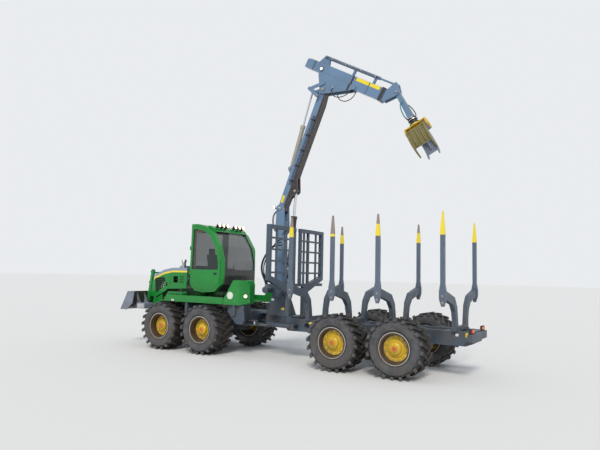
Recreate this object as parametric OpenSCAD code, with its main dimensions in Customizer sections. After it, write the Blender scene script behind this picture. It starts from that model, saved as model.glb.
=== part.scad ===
// Eight-wheeled forestry forwarder. Two frames are hinged in the middle and carried by four bogies.
// The front one holds the engine and a cab that turns, here to the rear. The rear one holds the crane and
// the load space between its stakes. X points forward from the middle joint, Y to the left, Z up.

/* [Chassis] */
// Middle joint to the centre of the front bogie
front_bogie_x = 2100; // [2000:10:2200]
// Middle joint to the centre of the rear bogie
rear_bogie_x = 3520; // [3420:10:3620]
// Distance between the two wheels of a bogie
bogie_base = 1540; // [1460:10:1600]
// Distance between the centre planes of left and right tyres
track_w = 2220; // [2180:10:2300]
// Distance from the middle joint to the front face of the blade
nose_x = 4700; // [4640:10:4800]
// Distance from the middle joint to the back of the rear bumper
tail_x = 5800; // [5760:10:5900]
// Height of the chassis beams above the ground
frame_low = 740; // [700:10:760]
// Height of the load frame's top face
frame_top = 1060; // [1040:10:1100]
// Outside width over the chassis beams
frame_w = 900; // [840:10:940]
// Width of one chassis beam
beam_w = 120; // [90:5:140]

/* [Wheels] */
// Outside diameter over the lugs
wheel_d = 1340; // [1300:10:1360]
// Width of a tyre
tyre_w = 710; // [650:10:730]
// Height of a lug above the tread
lug_h = 55; // [40:1:65]
// Lugs on each half of the tread
lug_count = 20; // [16:1:22]
// Diameter of the rim's bead seat
seat_d = 674; // [664:1:684]
// Width of a rim over its flanges
rim_w = 620; // [560:10:630]
// How far a front wheel's centre lies inside its rim
front_dish = 185; // [120:5:220]
// How far a rear wheel's centre lies inside its rim
rear_dish = 125; // [100:5:220]

/* [Cab] */
// Middle joint to the axis that the cab turns on
cab_x = 1620; // [1600:5:1640]
// Width over the cab
cab_w = 1700; // [1600:10:1740]
// Thickness of the cab's posts and walls
cab_wall = 75; // [60:1:90]
// Gap between the door and its frame
door_gap = 6; // [5:1:10]
// Thickness of the door
door_t = 50; // [40:1:60]
// Thickness of the window panes
pane_t = 8; // [6:1:12]

/* [Hood] */
// Width of the hood
hood_w = 1400; // [1300:10:1440]
// Thickness of the hood's wall
hood_wall = 30; // [20:1:40]
// Radius of the space that the turning cab sweeps
sweep_r = 1160; // [1140:5:1180]

/* [Load space] */
// Height of the stakes' tips
stake_top = 3660; // [3500:10:3760]
// Distance between the outer faces of left and right stakes
stake_span = 2840; // [2700:10:2900]
// Width of a stake along the machine
stake_w = 100; // [80:1:120]
// Thickness of a stake across the machine
stake_t = 60; // [50:1:80]
// Height of the headboard's top
gate_top = 3510; // [3400:10:3600]

/* [Crane] */
// Middle joint to the axis that the crane turns on
slew_x = 370; // [360:5:380]
// Height of the main boom's foot pin
foot_z = 4077; // [4000:1:4150]
// Length of the main boom between its pins
boom_l = 3498; // [3400:1:3600]
// Lean of the main boom from upright, to the rear
boom_lean = 22; // [15:1:30]
// Depth of the main boom's box
boom_h = 260; // [220:5:300]
// Width of the main boom's box
boom_w = 200; // [170:5:220]
// Slope of the outer boom below level
jib_fall = 29; // [25:1:35]
// Length of the outer boom's box
jib_l = 2660; // [2500:10:2700]
// Depth of the outer boom's box
jib_h = 330; // [280:5:340]
// Width of the outer boom's box
jib_w = 220; // [200:5:240]
// Height of the outer boom's axis above the knee pin
knee_drop = 519; // [500:1:540]
// Diameter of the crane's main pins
pin_d = 80; // [60:1:90]
// Length of the hanger between its pins
hanger_l = 818; // [780:1:860]
// Distance between the grapple's two jaw pins
jaw_pins = 300; // [260:5:340]
// Width of the grapple's head along its pins
head_w = 600; // [520:10:680]
// Height of the grapple's jaws
jaw_h = 760; // [700:10:800]

/* [Hidden] */
$fn = 48;
// Gap between pieces that seat on each other
fit = 0.3;
// Gap between pieces that move past each other
run = 6;
// Gap at a pin or a rod
slip = 0.5;
// A cut's overrun past the face it opens
over = 5;
// Colours
GREEN = [0.05, 0.55, 0.16];
SLATE = [0.30, 0.36, 0.44];
YELLOW = [0.95, 0.78, 0.05];
BLACK = [0.08, 0.08, 0.09];
CHROME = [0.80, 0.82, 0.84];
GLASS = [0.35, 0.45, 0.50, 0.4];
// The origin lies under the middle of the whole length
mid_x = (tail_x - nose_x) / 2;
hub_z = wheel_d / 2;
wheel_y = track_w / 2;
tyre_in = wheel_y - tyre_w / 2;
side_y = frame_w / 2;

// Sets a piece drawn from the middle joint into the frame of the whole machine
module place() {
    translate([mid_x, 0, 0]) children();
}

// Extrudes an outline drawn in X and Z across the machine, from y0 to y1
module across(y0, y1) {
    translate([0, y1, 0]) rotate([90, 0, 0]) linear_extrude(height = y1 - y0) children();
}

// The same on both sides
module both(y0, y1) {
    across(y0, y1) children();
    across(-y1, -y0) children();
}

// A round bar across the machine at x, z
module pin(x, z, r, y0, y1) {
    translate([x, y1, z]) rotate([90, 0, 0]) cylinder(r = r, h = y1 - y0);
}

// A box from its low corner to its high corner
module block(low, high) {
    translate(low) cube(high - low);
}

// Outline of a straight arm with round ends of two radii, from a to b
module arm2d(a, b, ra, rb) {
    hull() {
        translate(a) circle(r = ra);
        translate(b) circle(r = rb);
    }
}

// Rounds an outline's corners
module rounded(r) {
    offset(r = r, $fn = 24) offset(delta = -r) children();
}

// Wheels, counted from the front: [node number, distance in front of the middle joint, dish]
WHEELS = [
    [1, front_bogie_x + bogie_base / 2, front_dish],
    [2, front_bogie_x - bogie_base / 2, front_dish],
    [3, -rear_bogie_x + bogie_base / 2, rear_dish],
    [4, -rear_bogie_x - bogie_base / 2, rear_dish]
];

// Turns a piece drawn round Z, its outer side up, onto a wheel's place
module at_wheel(i, side) {
    translate([WHEELS[i][1], side * wheel_y, hub_z]) rotate([-90 * side, 0, 0]) children();
}

seat_r = seat_d / 2;
tread_r = wheel_d / 2 - lug_h;
lug_slant = 150;
lug_inner = 58;
lug_outer = 78;
lug_half = (lug_slant + lug_outer) / 2;
// A lug's flat top lies so that its corners reach the outside diameter
lug_top = sqrt(pow(wheel_d / 2, 2) - pow(lug_half, 2));

module lug(side) {
    half = tyre_w / 2;
    mid = lug_slant / 2;
    rotate([0, 90, 0]) translate([0, 0, tread_r - 22])
        linear_extrude(height = lug_top - tread_r + 22)
            polygon([[side * -14, -mid - lug_inner / 2], [side * -14, -mid + lug_inner / 2],
                     [side * half, mid + lug_outer / 2], [side * half, mid - lug_outer / 2]]);
}

module tyre(i, side) {
    half = tyre_w / 2;
    bead = rim_w / 2 - 27;
    step = 360 / lug_count;
    place() at_wheel(i, side) color(BLACK) {
        union() {
            rotate_extrude($fn = 96)
                polygon([[seat_r, -bead], [seat_r + 30, -bead - 8], [seat_r + 80, -half + 16],
                         [seat_r + 150, -half + 2], [tread_r - 60, -half + 6], [tread_r - 8, -half + 62],
                         [tread_r, -half + 120], [tread_r, half - 120], [tread_r - 8, half - 62],
                         [tread_r - 60, half - 6], [seat_r + 150, half - 2], [seat_r + 80, half - 16],
                         [seat_r + 30, bead + 8], [seat_r, bead]]);
            for (n = [0 : lug_count - 1]) {
                rotate([0, 0, n * step]) lug(1);
                rotate([0, 0, (n + 0.5) * step]) lug(-1);
            }
        }
    }
}

hub_r = 150;
cap_r = 62;
bogie_in = 530;
bogie_out = tyre_in - 30;
stub_out = bogie_out + 20;

module rim(i, side) {
    half = rim_w / 2;
    well = seat_r - 22;
    disc = half - WHEELS[i][2];
    place() at_wheel(i, side) color(YELLOW) {
        difference() {
            union() {
                rotate_extrude($fn = 96)
                    polygon([[well, -half], [seat_r + 26, -half], [seat_r + 26, -half + 13],
                             [seat_r - fit, -half + 26], [seat_r - fit, half - 26],
                             [seat_r + 26, half - 13], [seat_r + 26, half], [well, half],
                             [well - 12, half - 60], [well - 12, disc + 8], [well - 40, disc - 2],
                             [hub_r + 60, disc - 2], [hub_r + 30, disc + 22], [hub_r - 10, disc + 22],
                             [hub_r - 10, disc + 70], [hub_r - 40, disc + 92], [cap_r + 10, disc + 98],
                             [cap_r + 6, disc + 118], [0, disc + 118], [0, disc - 40],
                             [hub_r, disc - 40], [hub_r + 20, disc - 20], [well - 20, disc - 20],
                             [well - 12, disc - 60], [well - 12, -half + 60]]);
                translate([0, 0, stub_out + slip - wheel_y])
                    cylinder(r = hub_r - 12, h = disc - 30 - stub_out - slip + wheel_y);
            }
            for (a = [0 : 30 : 330])
                rotate([0, 0, a + 15]) translate([hub_r + 92, 0, disc - 60]) cylinder(r = 19, h = 120);
        }
    }
}

// Bogie beams and the housing between them, drawn round the bogie's centre
module axle_at(x) {
    reach = bogie_base / 2;
    place() translate([x, 0, 0]) color(SLATE) {
        union() {
            for (s = [-1, 1]) {
                low = s > 0 ? bogie_in : -bogie_out;
                across(low, low + bogie_out - bogie_in)
                    rounded(40) polygon([[-reach - 175, hub_z + 40], [-reach - 120, hub_z + 165],
                        [-180, hub_z + 215], [180, hub_z + 215], [reach + 120, hub_z + 165],
                        [reach + 175, hub_z + 40], [reach + 120, hub_z - 150], [220, hub_z - 130],
                        [-220, hub_z - 130], [-reach - 120, hub_z - 150]]);
                for (e = [-reach, reach]) pin(e, hub_z, hub_r - 12, s > 0 ? bogie_out - 1 : -stub_out,
                                              s > 0 ? stub_out : -bogie_out + 1);
                pin(0, hub_z + 20, 185, s > 0 ? bogie_in - 60 : -bogie_in - 1,
                    s > 0 ? bogie_in + 1 : -bogie_in + 60);
            }
            pin(0, hub_z, axle_r, -bogie_in, bogie_in);
            translate([0, 0, hub_z]) rotate([90, 0, 0]) rotate_extrude()
                polygon([[0, -230], [170, -230], [235, -110], [235, 110], [170, 230], [0, 230]]);
            translate([0, 0, hub_z]) rotate([0, 90, 0]) cylinder(r = 95, h = 380);
        }
    }
}
axle_r = 130;

// Front frame, with the fork of the middle joint at its rear end
fork_r = 120;
fork_low = frame_low + 20;
fork_high = 1180;
fork_t = 55;
joint_pin_r = 48;
joint_tube_r = 104;
front_end = 3980;
deck_z = 1180;
inner_y = side_y - beam_w;

module front_frame() {
    place() color(SLATE) {
        difference() {
            union() {
                for (s = [-1, 1]) {
                    low = s > 0 ? inner_y : -side_y;
                    across(low, low + beam_w)
                        polygon([[480, frame_low + 10], [front_end - 300, frame_low + 10],
                                 [front_end, frame_low + 200],
                                 [front_end, deck_z + 60], [3300, deck_z + 60], [3100, deck_z], [340, deck_z],
                                 [300, deck_z - 80], [300, 990], [480, 960]]);
                    // lugs that carry the blade's arms
                    across(s > 0 ? side_y - 1 : -side_y - 62, s > 0 ? side_y + 62 : -side_y + 1)
                        arm2d([arm_x, arm_z], [arm_x - 90, arm_z + 60], 78, 90);
                }
                block([280, -inner_y - 1, frame_low + 30], [520, inner_y + 1, frame_low + 90]);
                block([280, -inner_y - 1, deck_z - 60], [520, inner_y + 1, deck_z]);
                for (x = [900, 2650, 3300])
                    block([x, -inner_y - 1, frame_low + 40], [x + 90, inner_y + 1, deck_z - 20]);
                block([front_end - 60, -inner_y - 1, frame_low + 220], [front_end, inner_y + 1, deck_z + 40]);
                for (z = [fork_low, fork_high - fork_t]) translate([0, 0, z]) linear_extrude(height = fork_t)
                    hull() {
                        circle(r = fork_r);
                        translate([300, -210]) square([40, 420]);
                    }
                translate([0, 0, fork_low - 24]) cylinder(r = joint_pin_r, h = fork_high - fork_low + 48);
                // bumper ends ahead of the front wheels
                block([3640, -1290, 1105], [3960, -930, 1265]);
                block([3640, 930, 1105], [3960, 1290, 1265]);
                block([3740, -931, 1208], [3900, -side_y + 1, 1240]);
                block([3740, side_y - 1, 1208], [3900, 931, 1240]);
                // brackets for the sills and the plates under the tanks
                for (s = [-1, 1]) {
                    for (x = [340, 2055]) block([x, s > 0 ? side_y - 1 : -1150, deck_z - 90],
                                                [x + 90, s > 0 ? 1150 : -side_y + 1, sill_z - fit]);
                    for (z = [steer_z - 32 - run - 34, steer_z + 32 + run]) translate([0, 0, z])
                        linear_extrude(height = 34)
                        hull() {
                            translate([eye_x, s * eye_y]) circle(r = 80);
                            translate([420, s > 0 ? inner_y + 10 : -side_y + 10]) square([100, beam_w - 20]);
                        }
                    across(s > 0 ? 1060 : -1090, s > 0 ? 1090 : -1060)
                        polygon([[100, sill_z - 12], [560, sill_z - 12], [640, 1190], [330, 870],
                                 [130, 870], [60, 1000]]);
                }
            }
            // openings in the side plates' webs
            for (x = [1180, 3000]) pin(x, 960, 90, -side_y - over, side_y + over);
            pin(front_bogie_x, hub_z, axle_r + fit, -side_y - over, side_y + over);
            translate([front_bogie_x, 0, hub_z]) rotate([90, 0, 0])
                cylinder(r = 236, h = 2 * inner_y, center = true);
            block([front_bogie_x, -97, hub_z - 97], [front_bogie_x + 382, 97, hub_z + 97]);
        }
    }
}

// Hydraulic arms of the blade: they keep it upright as they swing
arm_x = 3300;
arm_z = 1000;
arm_lift = 12;
arm_l = 930;
arm_t = 50;
arm_in = side_y + 62 + run;
tip_x = arm_x + arm_l * cos(arm_lift);
tip_z = arm_z + arm_l * sin(arm_lift);

module blade_arms() {
    place() color(SLATE) union() {
        both(arm_in, arm_in + arm_t) difference() {
            arm2d([arm_x, arm_z], [tip_x, tip_z], 80, 62);
            translate([tip_x, tip_z]) circle(r = 34 + slip);
        }
        pin(arm_x, arm_z, 34, -arm_in - 1, -side_y - 62 - slip);
        pin(arm_x, arm_z, 34, side_y + 62 + slip, arm_in + 1);
        pin(tip_x - 110, tip_z - 24, 36, -arm_in - 1, arm_in + 1);
    }
}

blade_w = 2560;
blade_back = 4110;
blade_low = 1040;
blade_high = 1600;

module blade() {
    half = blade_w / 2;
    place() color(SLATE) union() {
        across(-half, half)
            polygon([[nose_x - 330, blade_high], [nose_x - 290, blade_high], [nose_x - 330, 1440],
                     [nose_x - 300, 1260], [nose_x - 190, 1130], [nose_x, blade_low],
                     [nose_x - 60, blade_low], [nose_x - 250, 1110], [nose_x - 350, 1230],
                         [nose_x - 372, 1400]]);
        both(half - 30, half)
            polygon([[blade_back, blade_high], [nose_x - 292, blade_high], [nose_x - 4, blade_low + 2],
                     [nose_x - 260, blade_low], [blade_back + 60, 1250]]);
        for (y = [-960, -660, 620, 920])
            across(y, y + 40) polygon([[nose_x - 340, 1560], [nose_x - 372, 1400], [nose_x - 350, 1230],
                                       [nose_x - 250, 1112], [blade_back + 60, 1130],
                                           [blade_back + 60, 1260]]);
        both(arm_in + arm_t + run, arm_in + arm_t + run + 36)
            arm2d([tip_x, tip_z], [nose_x - 340, 1190], 56, 70);
        pin(tip_x, tip_z, 34, -arm_in - arm_t - run - 1, -arm_in + run);
        pin(tip_x, tip_z, 34, arm_in - run, arm_in + arm_t + run + 1);
    }
}

// Engine: one plain block at its place
module engine_block() {
    place() color(BLACK) union() {
        block([2950, -320, deck_z - 20 + fit], [3780, 320, 1960]);
    }
}

// Sills over the front wheels with steps cut in their skirts
sill_z = 1378;
sill_top = 1560;
sill_y = 1190;
fender_in = hood_w / 2 + 2 * run;

module side_sills() {
    place() color(GREEN) for (s = [-1, 1]) {
        difference() {
            union() {
                block([740, s > 0 ? 520 : -sill_y, sill_z], [2760, s > 0 ? sill_y : -520, sill_z + 24]);
                across(s > 0 ? sill_y - 40 : -sill_y, s > 0 ? sill_y : -sill_y + 40)
                    polygon([[740, sill_z], [2760, sill_z], [2830, sill_top - 90], [2830, sill_top],
                             [740, sill_top]]);
                block([2100, s > 0 ? 900 : -sill_y + 41, sill_z + 23],
                      [2400, s > 0 ? sill_y - 41 : -900, sill_z + 130]);
                // mudguard over the foremost wheel, and the box between it and the hood
                across(s > 0 ? fender_in : -sill_y, s > 0 ? sill_y : -fender_in)
                    polygon([[2740, sill_z], [2740, sill_z + 24], [3020, sill_z + 24], [3366, 1272],
                             [3354, 1248], [3014, sill_z]]);
                across(s > 0 ? fender_in : -fender_in - 200, s > 0 ? fender_in + 200 : -fender_in)
                    polygon([[2500, sill_z + 10], [2500, 1610], [2540, 1640], [3060, 1640], [3336, 1275],
                             [3320, 1270], [3018, sill_z + 10]]);
            }
            for (x = [2600 : 90 : 2960]) block([x, s > 0 ? fender_in + 170 : -fender_in - 210, 1470],
                                               [x + 60, s > 0 ? fender_in + 210 : -fender_in - 170, 1580]);
            for (x = [820 : 130 : 1600]) block([x, s > 0 ? 700 : -1100, sill_z - over],
                                               [x + 70, s > 0 ? 1100 : -700, sill_z + 24 + over]);
        }
    }
}

// Tanks behind the cab. Their rear corners are cut off for the load frame to swing past
tank_in = 700;
tank_out = 1185;

module tanks() {
    place() color(GREEN) for (s = [-1, 1]) {
        intersection() {
            across(s > 0 ? tank_in : -tank_out, s > 0 ? tank_out : -tank_in)
                rounded(40) polygon([[-60, 1700], [60, 2040], [400, 2040], [735 - run, 1500],
                                     [735 - run, sill_z], [180, sill_z], [-40, 1450]]);
            linear_extrude(height = 2200)
                polygon([[20, s * tank_in], [735, s * tank_in], [735, s * tank_out], [200, s * tank_out],
                         [10, s * (tank_in + 240)]]);
        }
    }
}

// Turntable that the cab turns on
ring_z = 1560;
cab_floor = 1655;

module cab_turntable() {
    place() color(BLACK) union() {
        translate([cab_x, 0, deck_z + fit]) cylinder(r = 430, h = 60);
        translate([cab_x, 0, deck_z + 55]) cylinder(r1 = 400, r2 = 300, h = ring_z - deck_z - 95);
        translate([cab_x, 0, ring_z - 45]) cylinder(r = 380, h = 45);
        for (a = [45 : 90 : 315]) translate([cab_x, 0, deck_z + 50]) rotate([0, 0, a])
            block([250, -25, 0], [395, 25, 270]);
    }
}

// Upright stack beside the hood's rear cowl
module stack() {
    place() color(CHROME) translate([2890, 470, 0]) union() {
        translate([0, 0, cowl_top + fit]) cylinder(r = 78, h = 30);
        translate([0, 0, 2370]) cylinder(r = 62, h = 170);
        translate([0, 0, 2530]) cylinder(r1 = 86, r2 = 70, h = 70);
    }
}

// Hood: a fixed cowl next to the cab, hollowed for the cab's sweep, and a part that tilts forward
seam_x = 3200;
cowl_top = 2345;
hinge_x = 4000;
hinge_z = 2090;
nose_top = [4040, 2060];
nose_foot = [3940, 1400];
nose_lean = (nose_top[0] - nose_foot[0]) / (nose_top[1] - nose_foot[1]);
function nose_at(z) = nose_foot[0] + (z - nose_foot[1]) * nose_lean;

module hood_outline() {
    polygon([[2500, 1735], [2500, cowl_top], [3130, cowl_top],
             [3480, 2280], nose_top, nose_foot, [3800, 1445],
             [3400, 1640], [3330, 1700], [2620, 1735]]);
}

// What lies ahead of the seam. Below the hinge it is an arc round the hinge, so that the hood can tilt
module ahead_of_seam(gap) {
    union() {
        translate([seam_x + gap, hinge_z]) square([nose_x, 1000]);
        intersection() {
            translate([hinge_x, hinge_z]) circle(r = hinge_x - seam_x - gap, $fn = 128);
            translate([2000, 0]) square([hinge_x - 2000, hinge_z]);
        }
        translate([hinge_x - over, 0]) square([nose_x, hinge_z]);
    }
}

// The nose wall stays on the chassis
module nose_band(gap) {
    polygon([nose_top + [-hood_wall - gap - 4, 60], nose_top + [60, 60], nose_foot + [60, -60],
             nose_foot + [-hood_wall - gap - 4, -60]]);
}

module hood_plan() {
    half = hood_w / 2;
    difference() {
        polygon([[2500, -half + 20], [2600, -half], [3880, -half], [4000, -half + 70], [4100, -half + 190],
                 [4100, half - 190], [4000, half - 70], [3880, half], [2600, half], [2500, half - 20]]);
        translate([cab_x, 0]) circle(r = sweep_r, $fn = 128);
    }
}

module hood_solid(inset) {
    intersection() {
        across(-hood_w / 2 - over, hood_w / 2 + over) offset(delta = -inset) hood_outline();
        translate([0, 0, 1000]) linear_extrude(height = 2000) offset(delta = -inset) hood_plan();
    }
}

module rear_cowl() {
    place() color(GREEN) union() {
        difference() {
            hood_solid(0);
            hood_solid(hood_wall);
            across(-hood_w, hood_w) ahead_of_seam(-run / 2);
            block([2900, -hood_w / 2 + hood_wall, 1000], [seam_x + 100, hood_w / 2 - hood_wall, 2300]);
            // slots and the mesh square in the side panels
            for (z = [1900 : 45 : 2080]) block([2650, -hood_w, z], [2830, hood_w, z + 14]);
            block([2900, -hood_w, 1900], [3090, hood_w, 2090]);
        }
        // raised air intake on the cowl's top
        difference() {
            across(-380, 370) polygon([[2880, cowl_top - 4], [3180, cowl_top - 4], [3165, 2385],
                                       [3120, 2412], [2900, 2412], [2880, 2395]]);
            for (y = [-340 : 60 : 300]) block([2860, y, 2352], [2920, y + 40, 2395]);
        }
        block([2860, -560, deck_z + 60 + fit], [2930, 560, 1765]);
        for (s = [-1, 1]) block([2700, s > 0 ? side_y - 60 : -560, deck_z + fit],
                                [2930, s > 0 ? 560 : -side_y + 60, deck_z + 62]);
    }
}

// Hood hinges: [places across], a knuckle on the hood between two lugs' pins on the nose wall
HOOD_HINGES = [-300, 300];

module hood_shell() {
    place() color(GREEN) difference() {
        union() {
            hood_solid(0);
            for (y = HOOD_HINGES) across(y - 20, y + 20)
                arm2d([hinge_x, hinge_z], [hinge_x - 80, hinge_z + 14], 15, 9);
        }
        pin(hinge_x, hinge_z, 8 + fit, -400, 400);
        hood_solid(hood_wall);
        across(-hood_w, hood_w) difference() {
            translate([2000, 1000]) square([2500, 2000]);
            ahead_of_seam(run / 2);
        }
        across(-hood_w, hood_w) nose_band(run);
        block([seam_x, -hood_w / 2 + hood_wall, 1000], [4200, hood_w / 2 - hood_wall, 1780]);
        // mesh openings in the sides
        both(hood_w / 2 - 2 * hood_wall, hood_w / 2 + over) side_mesh_outline();
    }
}

module side_mesh_outline() {
    polygon([[3860, 2010], [3480, 2060], [3420, 1990], [3440, 1790], [3640, 1640], [3820, 1560]]);
}

// Grilles: bars and a frame set in the hood's mesh openings
module hood_grille() {
    half = hood_w / 2;
    place() color(BLACK) {
        for (s = [-1, 1]) {
            low = s > 0 ? half - hood_wall : -half + hood_wall - 16;
            across(low, low + 16) difference() {
                offset(delta = -fit) side_mesh_outline();
                for (x = [3440 : 60 : 3860]) for (z = [1560 : 60 : 2060])
                    translate([x, z]) square(42);
            }
        }
    }
}

// Guard ahead of the hood's nose, with three bumps
guard_w = 1180;
module front_guard() {
    half = guard_w / 2;
    wall = hood_w / 2 - 60;
    place() color(GREEN) union() {
        // nose wall with its grille openings, on legs from the frame
        difference() {
            intersection() {
                hood_solid(0);
                across(-wall, wall) nose_band(-2);
            }
            for (y = [-420 : 70 : 380]) block([3800, y, 1500], [4200, y + 45, 1960]);
        }
        for (s = [-1, 1]) across(s > 0 ? 380 : -440, s > 0 ? 440 : -380)
            polygon([[3905, deck_z + 60 + fit], [front_end, deck_z + 60 + fit], [3990, 1480], [3925, 1480]]);
        // side plates between the hood and the bumper
        for (s = [-1, 1]) {
            across(s > 0 ? 640 : -662, s > 0 ? 662 : -640)
                polygon([[3560, 1300], [3560, 1540], [3796, 1428], [3928, 1386], [3962, 1250], [3640, 1250]]);
            block([3925, s > 0 ? 439 : -641, 1250], [3965, s > 0 ? 641 : -439, 1290]);
        }
        // hood hinges' lugs and pins
        for (y = HOOD_HINGES) {
            pin(hinge_x, hinge_z, 8, y - 46, y + 46);
            for (low = [y - 46, y + 26]) across(low, low + 20)
                arm2d([hinge_x, hinge_z], nose_top + [-8, -10], 12, 9);
        }
        // guard posts
        for (s = [-1, 1]) across(s > 0 ? half - 90 : -half, s > 0 ? half : -half + 90) union() {
            polygon([[4075, 2270], [4150, 2290], [4290, 1400], [4290, 1290], [4200, 1290]]);
            for (p = [[4160, 2205], [4211, 1880], [4262, 1560]]) translate(p) circle(r = 36);
        }
        for (t = [0.06, 0.35, 0.64, 0.95]) {
            x = 4090 + t * 130;
            z = 2230 - t * 880;
            block([x, -half + 89, z - 28], [x + 40, half - 89, z + 28]);
        }
        for (s = [-1, 1]) across(s > 0 ? half - 80 : -half + 20, s > 0 ? half - 20 : -half + 80)
            polygon([[nose_at(1450) - 4, 1450], [nose_at(1960) - 4, 1960], [4130, 1960], [4210, 1450]]);
    }
}

// Side outline of the cab, the windscreen to the rear
module cab_outline() {
    rounded(70)
        polygon([[2345, 3640], [2375, 2300], [2330, 1960], [2090, 1700], [1770, cab_floor], [1330, 1690],
                         [1110, 1900], [1080, 2150], [1088, 2570], [1205, 3000], [1470, 3400],
                             [1740, 3575], [2050, 3640]]);
}

module cab_plan(inset) {
    offset(delta = -inset)
        polygon([[1060, -700], [1060, 700], [1180, cab_w / 2], [2270, cab_w / 2], [2385, 740],
                                    [2385, -740], [2270, -cab_w / 2], [1180, -cab_w / 2]]);
}

module cab_solid(inset) {
    intersection() {
        across(-cab_w, cab_w) offset(delta = -inset) cab_outline();
        translate([0, 0, 1500]) linear_extrude(height = 2400) cab_plan(inset);
    }
}

// Outline of the door's opening in the near side
module door_outline() {
    rounded(60) offset(delta = -cab_wall) cab_outline();
}

// Window outline: what lies above the sill line inside a side's posts
window_sill = 2310;
module window_outline(inset) {
    intersection() {
        offset(delta = -inset) door_outline();
        translate([1000, window_sill + inset - cab_wall]) square([1500, 1500]);
    }
}

// Door hinges: [height of the knuckle's lower end]
HINGES = [2160, 2900];
door_pin = [2296, cab_w / 2 + 16];
hinge_r = 12;
hinge_pin_r = 7;
hinge_h = 60;

// Top of the cab's flat floor
floor_z = cab_floor + 135;

module cab_shell() {
    half = cab_w / 2;
    place() color(GREEN) union() {
        difference() {
            cab_solid(0);
            cab_solid(cab_wall);
            // door opening
            across(half - cab_wall - over, half + over) door_outline();
            // right-hand window
            across(-half - over, -half + cab_wall + over) window_outline(30);
            // windscreen and rear window
            block([900, -half + 150, 2320], [1760, half - 150, 3490]);
            block([2200, -half + 190, 2420], [2500, half - 190, 3420]);
        }
        translate([cab_x, 0, ring_z + slip]) cylinder(r = 360, h = cab_floor + 30 - ring_z);
        intersection() {
            cab_solid(cab_wall - 1);
            block([1000, -cab_w, 1600], [2500, cab_w, floor_z]);
        }
        // door hinges' lugs and pins
        for (z = HINGES) {
            for (low = [z - 24, z + hinge_h + 2]) translate([0, 0, low]) linear_extrude(height = 22) hull() {
                translate(door_pin) circle(r = hinge_r);
                translate([door_pin[0] + 10, half - 62]) square([30, 50]);
            }
            translate([door_pin[0], door_pin[1], z - 10]) cylinder(r = hinge_pin_r, h = hinge_h + 20);
        }
        // visor over the windscreen
        across(-half + 110, half - 110)
            polygon([[1480, 3400], [1440, 3420], [1520, 3520], [1660, 3590], [1760, 3584]]);
    }
}

module cab_glass() {
    half = cab_w / 2;
    place() color(GLASS) {
        intersection() {
            across(-half + 150 + fit, half - 150 - fit) difference() {
                offset(delta = -14) cab_outline();
                offset(delta = -14 - pane_t) cab_outline();
            }
            block([900, -half, 2320 + fit], [1760 - fit, half, 3490 - fit]);
        }
        across(-half + 14, -half + 14 + pane_t) offset(delta = -fit) window_outline(30);
        block([2330, -half + 190 + fit, 2420 + fit], [2330 + pane_t, half - 190 - fit, 3420 - fit]);
    }
}

module cab_seat() {
    place() color(BLACK) union() {
        translate([1830, 0, floor_z + fit]) cylinder(r = 150, h = 60);
        translate([1830, 0, floor_z + 30]) cylinder(r = 70, h = 260);
        across(-250, 250) rounded(30) polygon([[1580, 2080], [2060, 2050], [2060, 2190], [1580, 2200]]);
        across(-240, 240) rounded(40) polygon([[1990, 2150], [2130, 2150], [2240, 2790], [2140, 2790]]);
        across(-130, 130) rounded(30) polygon([[2150, 2760], [2230, 2760], [2250, 2960], [2180, 2960]]);
        for (s = [-1, 1]) {
            across(s > 0 ? 300 : -380, s > 0 ? 380 : -300) rounded(20)
                polygon([[1560, 2300], [1960, 2280], [1960, 2340], [1560, 2370]]);
            across(s > 0 ? 230 : -330, s > 0 ? 330 : -230)
                polygon([[1780, 2100], [1860, 2100], [1860, 2310], [1780, 2310]]);
            translate([1610, s * 340, 2350]) cylinder(r = 22, h = 110);
        }
        across(-190, 190) rounded(20) polygon([[1270, 2060], [1350, 2040], [1450, 2300], [1380, 2320]]);
        across(-60, 60) polygon([[1350, floor_z + fit], [1440, floor_z + fit], [1370, 2130], [1300, 2120]]);
    }
}

// Lamps along the front of the cab's roof: [place across]
module cab_lamps() {
    place() color(CHROME) for (y = [-560, -380, -190, 190, 380, 560]) union() {
        translate([1530, y, 3590]) rotate([0, -72, 0]) cylinder(r = 56, h = 60);
        translate([1530, y, 3590]) rotate([0, -72, 0]) translate([0, 0, 59]) cylinder(r = 62, h = 18);
        // foot on the visor's sloping top
        across(y - 20, y + 20) polygon([[1526, 3523 + fit], [1590, 3555 + fit], [1580, 3600], [1530, 3600]]);
    }
}

module door_frame() {
    half = cab_w / 2;
    place() color(GREEN) difference() {
        union() {
            difference() {
                across(half - door_t, half) offset(delta = -door_gap) door_outline();
                across(half - door_t - over, half + over) window_outline(75);
            }
            for (z = HINGES) translate([0, 0, z]) linear_extrude(height = hinge_h) hull() {
                translate(door_pin) circle(r = hinge_r);
                translate([door_pin[0] - 60, half - 2]) square([30, 6]);
            }
        }
        translate([door_pin[0], door_pin[1], window_sill - 400]) cylinder(r = hinge_pin_r + fit, h = 1400);
    }
}

module door_glass() {
    half = cab_w / 2;
    place() color(GLASS) across(half - 20 - pane_t, half - 20) offset(delta = -fit) window_outline(75);
}

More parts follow.
